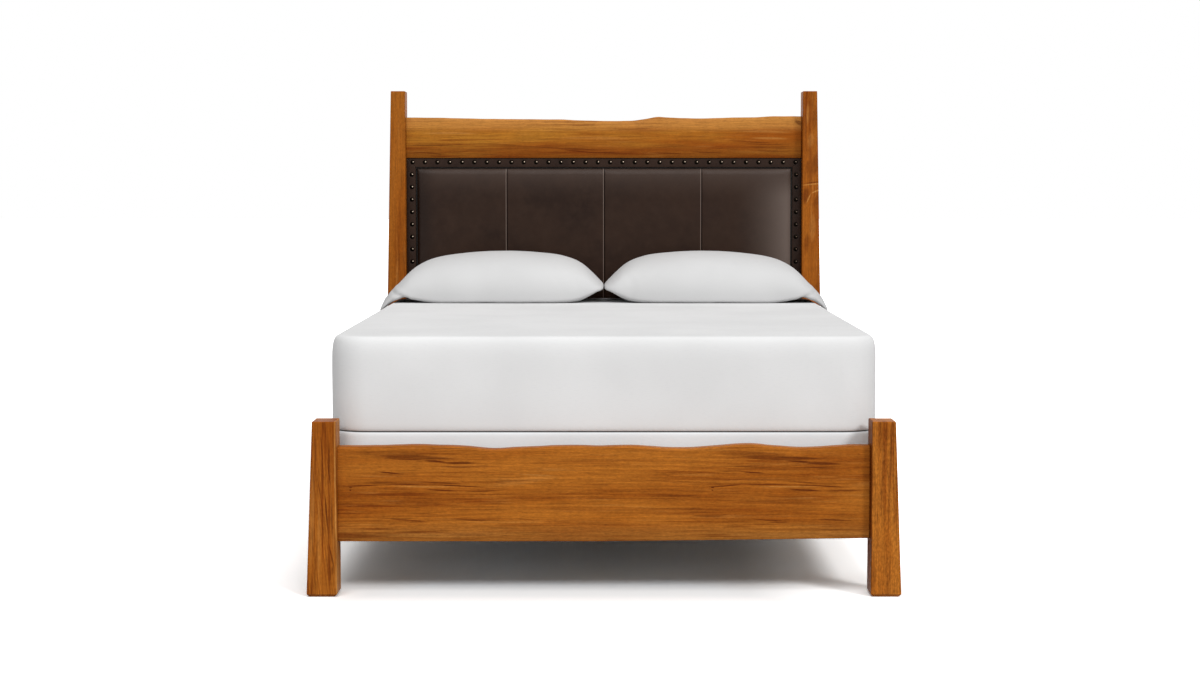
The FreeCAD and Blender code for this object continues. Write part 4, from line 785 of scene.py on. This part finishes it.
def bedding_rows(node, corner, draw, low_draw, roll, swell, seed):
    """Rings from the middle of the underside, round the rolled edges, to the middle of the top."""
    low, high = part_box(node)
    half_x, half_y = (high.x - low.x) / 2, (high.y - low.y) / 2
    edge = []
    for depth in EDGE_DEPTHS:
        share = min(depth * MM / roll, 1)
        edge.append((depth * MM, draw * (1 - share ** 0.45) ** 2.2))
    insets = [(half_x - draw) * (1 - (k + 1) / (FLAT_RINGS + 1)) + draw for k in range(FLAT_RINGS)]
    under = low_draw / draw
    side = high.z - low.z - 2 * roll
    middle = [low.z + roll + side * k / (SIDE_RINGS + 1) for k in range(1, SIDE_RINGS + 1)]
    levels = [(inset, low.z) for inset in insets]
    levels += [(drawn * under, low.z + depth * under) for depth, drawn in edge]
    levels += [(0, z) for z in middle if low.z + EDGE_END * under < z < high.z - EDGE_END]
    levels += [(drawn, high.z - depth) for depth, drawn in reversed(edge)]
    levels += [(inset, high.z) for inset in reversed(insets)]
    levels = [level for i, level in enumerate(levels) if i == 0 or level != levels[i - 1]]
    rows = []
    for inset, z in levels:
        ring = rounded_ring(half_x - inset, half_y - inset, max(corner - inset, LEAST_CORNER), z)
        outward_sign = 1 if z > (low.z + high.z) / 2 else -1
        flat = inset > draw * 0.98
        row = []
        for x, y, height in ring:
            uneven = sum(part * wobble(x, y, height, length, seed) for part, length in SOFT_WAVES)
            soft = swell * abs(uneven)
            shrink = 1 if flat else 1 - soft
            row.append((x * shrink, y * shrink, height - soft * outward_sign if flat else height))
        rows.append(row)
    return rows


def make_bedding(body, inner, cover, fill, **form):
    node = body + "_cover"
    piece = tube_mesh(body + "_soft", bedding_rows(node, **form), cover)
    place_piece(piece, body, "mattress_cloth", node, f"{body}_{inner}")


# A pillow from its inner end to its outer tip: the place along the width, the front and back along
# the depth, and the heights of the front bulge, back bulge, underside and top, all as shares
PILLOW_SHARES = (
    (0, 0.16, 0.7, 0.3, 0.32, 0.285, 0.325), (0.012, 0.11, 0.78, 0.28, 0.36, 0.25, 0.385),
    (0.026, 0.08, 0.85, 0.265, 0.4, 0.23, 0.455), (0.045, 0.06, 0.9, 0.24, 0.43, 0.18, 0.55),
    (0.08, 0.04, 0.94, 0.185, 0.46, 0.1, 0.69), (0.122, 0.025, 0.96, 0.115, 0.47, 0.03, 0.795),
    (0.19, 0.01, 0.98, 0.07, 0.48, 0, 0.9), (0.3, 0, 1, 0.055, 0.48, 0, 0.965),
    (0.44, 0, 1, 0.055, 0.49, 0, 1), (0.55, 0, 1, 0.055, 0.48, 0, 0.985),
    (0.66, 0, 0.99, 0.06, 0.46, 0, 0.94), (0.75, 0.01, 0.97, 0.07, 0.43, 0, 0.875),
    (0.82, 0.02, 0.95, 0.11, 0.38, 0.045, 0.77), (0.87, 0.03, 0.92, 0.15, 0.32, 0.095, 0.625),
    (0.91, 0.04, 0.87, 0.14, 0.25, 0.09, 0.44), (0.955, 0.05, 0.72, 0.04, 0.12, -0.01, 0.215),
    (0.985, 0.06, 0.5, -0.095, -0.07, -0.125, 0.04), (1, 0.08, 0.38, -0.165, -0.16, -0.19, -0.13),
)
PILLOW_WIDTH = 792 * MM
PILLOW_TALL = 173 * MM
PILLOW_CROWN_SHARE = 0.54
PILLOW_ARCH = 0.86
PILLOW_FOOT_SHARES = (0.05, 0.84)
PILLOW_BOWS = (("out", 16), ("in", 5), ("flat", 10), ("out", 7), ("in", 14))
PILLOW_FLOOR = MATTRESS_HIGH.z + 0.3 * MM
PILLOW_INNER = 0.8 * MM
PILLOW_DROOP = MATTRESS_HIGH.x - 26 * MM
PILLOW_PRESSURE = 3
PILLOW_SHRINK = -0.03
PILLOW_FRAMES = 18
PILLOW_SWELL = 5 * MM
PILLOW_TIPS = (0.12 * PILLOW_WIDTH, 0.24 * PILLOW_WIDTH)
# The fold at the outer end, and the ridge round it
FOLD_START, FOLD_END = (0.692, PILLOW_FLOOR + 12 * MM), (0.742, PILLOW_FLOOR + 36 * MM)
FOLD_DEPTH, FOLD_HALF = 4 * MM, 7 * MM
RIDGE_HEIGHT, RIDGE_APART, RIDGE_HALF = 1.6 * MM, 15 * MM, 8 * MM
PILLOW_WAVES = ((1.1 * MM, 0.10, 9), (0.4 * MM, 0.035, 10))


def pillow_ring(x, front, back, front_high, back_high, under, crown):
    """A pillow's section at x: full at the front, crowned above and flat where it rests."""
    middle, foot, heel = [front + (back - front) * s for s in (PILLOW_CROWN_SHARE, *PILLOW_FOOT_SHARES)]
    corners = ((middle, crown), (front, front_high), (foot, under), (heel, under), (back, back_high))
    ring = []
    for i, (kind, count) in enumerate(PILLOW_BOWS):
        (start, start_z), (stop, stop_z) = corners[i], corners[(i + 1) % len(corners)]
        for k in range(count):
            ahead = math.sin(QUARTER * k / count) ** PILLOW_ARCH
            behind = 1 - math.cos(QUARTER * k / count) ** PILLOW_ARCH
            across, up = {"out": (ahead, behind), "in": (behind, ahead), "flat": (k / count, 0)}[kind]
            ring.append((x, start + (stop - start) * across, start_z + (stop_z - start_z) * up))
    return ring


def kept_off(place, across):
    """A place of the right-hand pillow kept off the other one and the mattress."""
    x, y, z = place
    return max(x, PILLOW_INNER), y, max(z, PILLOW_FLOOR) if across < PILLOW_DROOP else z


def simulated_pillow():
    """The right-hand pillow: a sewn skin that cloth simulation fills, less towards its tips."""
    low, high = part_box("pillow_right")
    depth = high.y - low.y
    table = np.array(PILLOW_SHARES)
    places = np.concatenate([np.linspace(0, 0.12, 15), np.linspace(0.135, 0.85, 50),
                             np.linspace(0.862, 1, 16)])
    columns = [smooth_curve(table[:, 0], table[:, k], places) for k in range(1, table.shape[1])]
    rows = []
    for share, near, far, front_high, back_high, under, crown in zip(places, *columns):
        heights = [PILLOW_FLOOR + PILLOW_TALL * h for h in (front_high, back_high, under, crown)]
        rows.append(pillow_ring(max(PILLOW_WIDTH * share, MM), low.y + depth * near,
                                low.y + depth * far, *heights))
    piece = tube_mesh("pillow_form", rows, pillow_cloth)
    rest = np.array([v.co for v in piece.data.vertices])
    settings = piece.modifiers.new("cloth", "CLOTH").settings
    settings.effector_weights.gravity = 0
    settings.use_pressure = True
    settings.uniform_pressure_force = PILLOW_PRESSURE
    settings.shrink_min = PILLOW_SHRINK
    settings.bending_stiffness = 0.5
    settings.quality = 6
    for step in range(1, PILLOW_FRAMES + 1):
        scene.frame_set(step)
    apply_modifiers(piece)
    scene.frame_set(1)
    moved = np.array([v.co for v in piece.data.vertices]) - rest
    length = np.linalg.norm(moved, axis=1, keepdims=True)
    moved *= np.minimum(1, PILLOW_SWELL / np.maximum(length, 1e-9))
    inner, outer = rest[:, :1] / PILLOW_TIPS[0], (PILLOW_WIDTH - rest[:, :1]) / PILLOW_TIPS[1]
    return piece, rest + moved * np.clip(np.minimum(inner, outer), 0, 1) ** 1.5


def fold_push(place, normal):
    """How far the pillow stands out at a place, for its fold and its unevenness."""
    x, y, z = place
    fold_start = np.array(FOLD_START)
    along = np.array(FOLD_END) - fold_start
    away = np.array((x, z)) - fold_start
    share = min(max(float(away @ along) / float(along @ along), 0), 1)
    apart = float(np.linalg.norm(away - along * share))
    push = sum(height * wobble(x, y, z, length, seed) for height, length, seed in PILLOW_WAVES)
    if normal.y < 0:
        push += RIDGE_HEIGHT * math.exp(-((apart - RIDGE_APART) / RIDGE_HALF) ** 2)
        push -= FOLD_DEPTH * math.exp(-(apart / FOLD_HALF) ** 2)
    return push


def make_pillows():
    form, places = simulated_pillow()
    for vertex, place in zip(form.data.vertices, places):
        vertex.co = kept_off(place, place[0])
    finer = form.modifiers.new("fine", "SUBSURF")
    finer.levels = finer.render_levels = 1
    apply_modifiers(form)
    normals = [vertex.normal.copy() for vertex in form.data.vertices]
    for vertex, normal in zip(form.data.vertices, normals):
        place = vertex.co + normal * fold_push(vertex.co, normal)
        vertex.co = kept_off(place, vertex.co.x)
    for side, name in ((1, "right"), (-1, "left")):
        mesh = form.data.copy()
        for vertex in mesh.vertices:
            vertex.co.x *= side
        if side < 0:
            mesh.flip_normals()
        mesh.polygons.foreach_set("use_smooth", [True] * len(mesh.polygons))
        piece = add_object("soft_pillow_" + name, mesh)
        place_piece(piece, name + "_pillow", "pillow_cloth", "pillow_" + name)
    bpy.data.objects.remove(form)


# Camera

LENS = 65.33
SENSOR_WIDTH = 36
CAMERA_PLACE = (0, -6.996, 1.1294)
CAMERA_TILT = math.radians(4.066)
CAMERA_SHIFT = -0.0033


def make_camera():
    data = bpy.data.cameras.new("camera")
    data.lens = LENS
    data.sensor_width = SENSOR_WIDTH
    data.shift_x = CAMERA_SHIFT
    camera = add_object("camera", data)
    camera.location = CAMERA_PLACE
    camera.rotation_euler = (QUARTER - CAMERA_TILT, 0, 0)
    scene.camera = camera


# Studio

FLOOR_REACH = 60
SKY = 0.45
# The floor's brightness for other rays, and for the camera under the bed and away from it:
# away from the bed it is painted light that washes out shadows, under the bed's right side a
# painted pool of light, and under the bed a cool tint painted into the shade
FLOOR_PLAIN = 0.4
FLOOR_UNDER_BED = 1
FLOOR_AROUND = 1.55
FLOOR_LIT = 1.4
FLOOR_COOL = (1.1, 1.2, 1.3, 1)
# Insets of the bed's outline on the floor, and how far the painted light and the tint in the
# shade run; the outline sits shifted to the left, so that more painted light falls on the right
FLOOR_SHIFT = 0.12
FLOOR_SIDE = 0.2
FLOOR_END = 0.02
FLOOR_FADE = 0.3
FLOOR_DEEP = 0.4
LIT_SIDE = (-0.22, 0.02)
LIT_DEPTH = 0.5


def background_rays(n):
    """1 for rays that show the background itself."""
    path = n.node("ShaderNodeLightPath").outputs
    seen = n.math("MAXIMUM", path["Is Camera Ray"], path["Is Glossy Ray"])
    return n.math("MAXIMUM", seen, path["Is Transmission Ray"])


def make_floor():
    """A pale floor, white to the camera where no shadow falls, with painted light that makes it palest
    away from the bed and a painted pool of light under the bed's right side.
    """
    f = Finish("pale_floor")
    x, y, _ = f.axes(f.vector_math("ADD", f.place, (FLOOR_SHIFT, 0, 0)))
    beyond = [f.math("SUBTRACT", f.math("ABSOLUTE", axis), reach)
              for axis, reach in ((x, HALF_INNER - FLOOR_SIDE), (y, cad_high.y - FLOOR_END))]
    away = f.math("MAXIMUM", *beyond)
    # Painted light away from the bed, washing out the shadows there
    level = f.fit(away, 0, FLOOR_FADE, FLOOR_UNDER_BED, FLOOR_AROUND, smooth=False)
    # A painted pool of light on the floor under the bed's right side
    lit = f.product(f.fit(x, HALF_INNER + LIT_SIDE[0], HALF_INNER + LIT_SIDE[1]),
                    f.fit(y, cad_low.y, cad_low.y + LIT_DEPTH))
    level = f.product(level, f.scaled(lit, FLOOR_LIT - 1, 1))
    # A cool tint painted into the shade under the bed
    bright = f.mix(f.fit(away, -FLOOR_DEEP, 0, 1, 0), f.joined(level, level, level), FLOOR_COOL)
    plain = (FLOOR_PLAIN, FLOOR_PLAIN, FLOOR_PLAIN, 1)
    diffuse = f.node("ShaderNodeBsdfDiffuse", {"Color": f.mix(background_rays(f), plain, bright)})
    f.feed(f.tree.nodes["Material Output"].inputs[0], diffuse.outputs[0])
    corners = [(x * FLOOR_REACH, y * FLOOR_REACH, 0) for x, y in ((-1, -1), (1, -1), (1, 1), (-1, 1))]
    floor = add_mesh("floor", corners, [(0, 1, 2, 3)], f.material, smooth=False)


def make_world():
    world = bpy.data.worlds.new("studio")
    scene.world = world
    world.use_nodes = True
    n = Nodes(world.node_tree)
    background = n.tree.nodes["Background"].inputs
    n.feed(background["Strength"], n.fit(background_rays(n), 0, 1, SKY, 1, smooth=False))
    n.feed(background["Color"], (1, 1, 1, 1))


def add_far_light(name, turn, height, spread, strength):
    """Even light from far away: degrees to the right of the camera, degrees above the floor."""
    data = bpy.data.lights.new(name, "SUN")
    data.angle = math.radians(spread)
    data.energy = strength
    turn, height = math.radians(turn), math.radians(height)
    level = math.cos(height)
    place = Vector((level * math.sin(turn), -level * math.cos(turn), math.sin(height)))
    lamp = add_object(name, data)
    lamp.location = place
    lamp.rotation_euler = (-place).to_track_quat("-Z", "Y").to_euler()


# Bed

make_camera()
make_floor()
make_world()
add_far_light("key_light", turn=38, height=33, spread=14, strength=1.33)
add_far_light("front_light", turn=-7, height=50, spread=40, strength=1.4)

# Streaks in millimetres: across the bed and up on the slabs, up and across the bed on the posts
FOOT_STREAKS = (
    (-715, 394, -450, 386, 10, 0.52), (-660, 386, -360, 373, 7.5, 0.72),
    (-620, 380, -470, 371, 3.7, 0.85), (-505, 372, -415, 366, 3.5, 1),
    (-460, 366, -330, 363, 4.4, 0.85), (-450, 357, -340, 352, 3.1, 0.52),
    (-630, 344, -540, 336, 2.6, 1), (-720, 300, -600, 307, 2.2, 0.98), (-620, 307, -470, 305, 2, 0.85),
    (-490, 306, -300, 297, 2.2, 0.91), (-520, 315, -360, 306, 2.8, 0.65),
    (-500, 294, -380, 287, 2.6, 1), (-400, 287, -270, 291, 3, 0.72), (-310, 318, -180, 314, 2.2, 0.52),
    (-600, 213, -480, 206, 2.8, 0.78), (-550, 204, -470, 203, 1.8, 1),
    (-420, 211, -300, 204, 3.5, 0.72), (-250, 211, -180, 205, 2.2, 0.65),
    (-660, 262, -400, 255, 7.5, 0.29), (-699, 299.5, -687, 299, 2.8, 1),
    (-697, 291, -690, 290, 2.8, 1),
)
FOOT_GLINTS = (
    (-600, 300, -380, 299, 1.8, 0.7), (-340, 300, -100, 330, 12, 0.25),
    (-700, 165, -200, 170, 10, 0.3), (-250, 335, -120, 328, 3, 0.5),
)
# Painted shadow of the right post across the footboard's right end
FOOT_POST_SHADOW = ((724, 280, 734, 280, 2000, 0.85),)
FOOT_REPEAT = 990


def twice(streaks):
    """The streaks, and the like ones that the board has further along."""
    return [(start + shift, across, stop + shift, *others) for shift in (0, FOOT_REPEAT)
            for start, across, stop, *others in streaks]


FOOT_LAYERS = ((215, 165, PALE, 0.3),)
footboard_wood = wood("footboard_wood", "X", 4, pitch=76, speckle=0.14, layers=FOOT_LAYERS,
                      calm=(-0.05, 0.36, 0.5), marks=(*twice(FOOT_STREAKS), *FOOT_POST_SHADOW),
                      glints=twice(FOOT_GLINTS))
CREST_LAYERS = ((1310, 1340, PALE, 0.72), (1286, 1250, RUSSET, 0.5))
CREST_STREAKS_AND_SHADE = (
    (-730, 1268, -450, 1272, 5, 0.3), (-520, 1277, -250, 1262, 5, 0.45),
    (-300, 1262, 50, 1247, 4, 0.6), (-100, 1243, 160, 1238, 3.5, 0.75),
    (100, 1252, 340, 1268, 4, 0.35), (300, 1246, 460, 1236, 3, 0.6), (420, 1286, 660, 1274, 4, 0.5),
    (500, 1262, 720, 1257, 5, 0.5), (-240, 1327, -20, 1324, 4, 0.35), (20, 1325, 220, 1330, 3, 0.4),
    (400, 1317, 620, 1322, 3, 0.3), (-680, 1322, -500, 1324, 3, 0.3), (-730, 1243, -560, 1232, 3, 0.6),
    (-560, 1252, -360, 1246, 3, 0.5), (-360, 1281, -160, 1276, 3, 0.45),
    (-180, 1254, 20, 1236, 3, 0.8), (140, 1262, 300, 1270, 3, 0.45), (160, 1240, 320, 1234, 3, 0.55),
    (480, 1274, 700, 1268, 3, 0.6), (520, 1247, 720, 1243, 4, 0.55), (-160, 1342, 20, 1338, 3, 0.35),
    # The last two are painted shade: at the crest's right end by the post, and in its top corner there
    (220, 1296, 440, 1300, 4, 0.25), (724, 1290, 735, 1290, 2000, 0.9),
    (695, 1360, 745, 1335, 12, 0.6),
)
CREST_GLINTS = (
    (-700, 1312, -440, 1309, 6, 0.5), (-200, 1296, 120, 1290, 10, 0.3),
    (460, 1320, 720, 1312, 7, 0.45), (520, 1292, 700, 1290, 5, 0.5),
)
crest_wood = wood("crest_wood", "X", 21, light=GOLD, pitch=92, lines=0.8, speckle=0.08,
                  marks=CREST_STREAKS_AND_SHADE, glints=CREST_GLINTS, layers=CREST_LAYERS)
RIGHT_HEAD_MARKS = (
    (1125, 725, 1136, 810, 16, 1), (1140, 768, 1260, 790, 22, 0.5), (1045, 738, 1122, 745, 17, 0.7),
    (1030, 775, 1100, 792, 14, 0.5), (1150, 742, 1220, 750, 10, 0.4), (1310, 770, 1420, 775, 12, 0.4),
    (860, 740, 950, 750, 14, 0.5),
)
RIGHT_HEAD_GLINTS = (
    (1118, 715, 1130, 820, 22, 1), (1050, 742, 1092, 763, 4, 1), (1088, 760, 1110, 800, 7, 1),
    (900, 766, 1030, 768, 16, 0.3), (1250, 755, 1320, 760, 16, 0.3), (1330, 745, 1430, 748, 8, 0.4),
)
LEFT_FOOT_MARKS = (
    (300, -762, 470, -769, 2.4, 0.8), (160, -754, 310, -762, 2.4, 0.9),
    (60, -733, 165, -755, 2.8, 0.7), (290, -742, 390, -752, 2.5, 0.7), (140, -742, 300, -740, 3, 0.8),
    (355, -782, 475, -788, 2, 0.6), (190, -763, 360, -782, 2, 0.7), (55, -744, 90, -741, 6, 0.5),
    (60, -731, 200, -733, 3, 0.5), (20, -790, 200, -780, 3, 0.35),
)
LEFT_FOOT_GLINTS_AND_HIGHLIGHT = (
    # The first is a painted highlight on the post's inner face and along its inner front edge
    (-400, -730.5, 900, -730.5, 3, 0.8), (50, -800, 400, -790, 8, 0.35),
)
RIGHT_FOOT_MARKS_AND_SHADE = (
    # The first is painted shade on the post's inner face and along its inner front edge
    (-400, 729, 900, 729, 4, 0.85), (390, 750, 500, 755, 24, 0.35), (0, 735, 130, 737, 10, 0.4),
    (360, 759, 380, 762, 3, 0.5), (210, 757, 330, 752, 3, 0.4), (270, 775, 350, 772, 3, 0.35),
)
post_woods = {
    "foot_post_left": wood("foot_post_left_wood", "Z", 31, lean=0.1, pitch=140,
                           speckle=0.12, marks=LEFT_FOOT_MARKS, glints=LEFT_FOOT_GLINTS_AND_HIGHLIGHT),
    "foot_post_right": wood("foot_post_right_wood", "Z", 37, srgb(182, 112, 40), srgb(160, 88, 22),
                            lines=0.3, speckle=0.3, marks=RIGHT_FOOT_MARKS_AND_SHADE),
    "head_post_left": wood("head_post_left_wood", "Z", 43, srgb(154, 89, 26), srgb(134, 70, 14),
                           lines=0.6, speckle=0.15),
    "head_post_right": wood("head_post_right_wood", "Z", 49, srgb(157, 89, 25), srgb(124, 58, 9),
                            lines=0.5, speckle=0.15, marks=RIGHT_HEAD_MARKS, glints=RIGHT_HEAD_GLINTS),
}
rail_wood = wood("rail_wood", "Y", 55)
dark_leather = leather("dark_leather", 3)
pad_leather = leather("pad_leather", 5, PAD_SEAMS)
nail_brass = aged_brass("aged_brass")
hardware = zinc_steel("zinc_steel")
inner_wood_x = sawn_wood("sawn_wood_across", "X", 2)
inner_wood_y = sawn_wood("sawn_wood_lengthways", "Y", 7)
inner_wood_z = sawn_wood("sawn_wood_upright", "Z", 12)
back_ply = plywood("plywood")
# Grey bands of painted shade: where the mattress meets the foundation, and on the pillows towards the
# bottom
mattress_cloth = cloth("mattress_cloth", srgb(224, 224, 224), 5200, 0.15 * MM, 2,
                       (MATTRESS_LOW.z + 3 * MM, MATTRESS_LOW.z + MM, 0.9))
foundation_cloth = cloth("foundation_cloth", srgb(226, 229, 231), 5200, 0.15 * MM, 4,
                         (FOUNDATION_TOP - 2 * MM, FOUNDATION_TOP - 0.5 * MM, 0.9))
pillow_cloth = cloth("pillow_cloth", srgb(202, 202, 202), 6400, 0.12 * MM, 8,
                     (MATTRESS_HIGH.z + 110 * MM, MATTRESS_HIGH.z, 0.16))

# Materials of the CAD's nodes by the starts of their names: the longest start counts
FINISHES = (
    (hardware, "slat_screws"), (rail_wood, "side_rail"), (footboard_wood, "footboard"),
    (crest_wood, "crest"), (inner_wood_y, "slat_cleat centre_beam"), (back_ply, "back_board"),
    (inner_wood_x, "slat panel_stop border_core panel_rail head_stretcher foundation_frame"),
    (inner_wood_z, "centre_leg panel_stop_left panel_stop_right"), (nail_brass, "nails"),
    (dark_leather, "border_leather leather_cover"), (pillow_cloth, "pillow"),
    (mattress_cloth, "panel_foam mattress foundation_cover"),
)
STARTS = {start: finish for finish, starts in FINISHES for start in starts.split()} | post_woods


def finish_for(node):
    starts = [start for start in STARTS if node.startswith(start)]
    return STARTS[max(starts, key=len)] if starts else hardware


for name, node in nodes.items():
    node.data.materials.clear()
    node.data.materials.append(finish_for(name))

live_edge_slab("footboard_slab", "footboard_panel", footboard_wood, 8 * MM, 6 * MM, 1)
live_edge_slab("crest_slab", "crest_rail", crest_wood, 26 * MM, 9 * MM, 2)

SIDES = ("top", "bottom", "left", "right")
all_nails = {side: nail_centres("nails_" + side) for side in SIDES}
corner_nails = all_nails["top"] + all_nails["bottom"]
make_pad()
for side in SIDES:
    make_border(side, corner_nails + all_nails[side] if side in ("left", "right") else all_nails[side])
    make_nails(side, all_nails[side])
make_bedding("mattress", "core", mattress_cloth, fill=0.95, corner=108 * MM, draw=26 * MM,
             low_draw=9 * MM, roll=72 * MM, swell=1 * MM, seed=11)
make_bedding("foundation", "frame", foundation_cloth, fill=1.0, corner=108 * MM, draw=6 * MM,
             low_draw=6 * MM, roll=15 * MM, swell=0.4 * MM, seed=12)
make_pillows()

scene.view_settings.view_transform = "Standard"
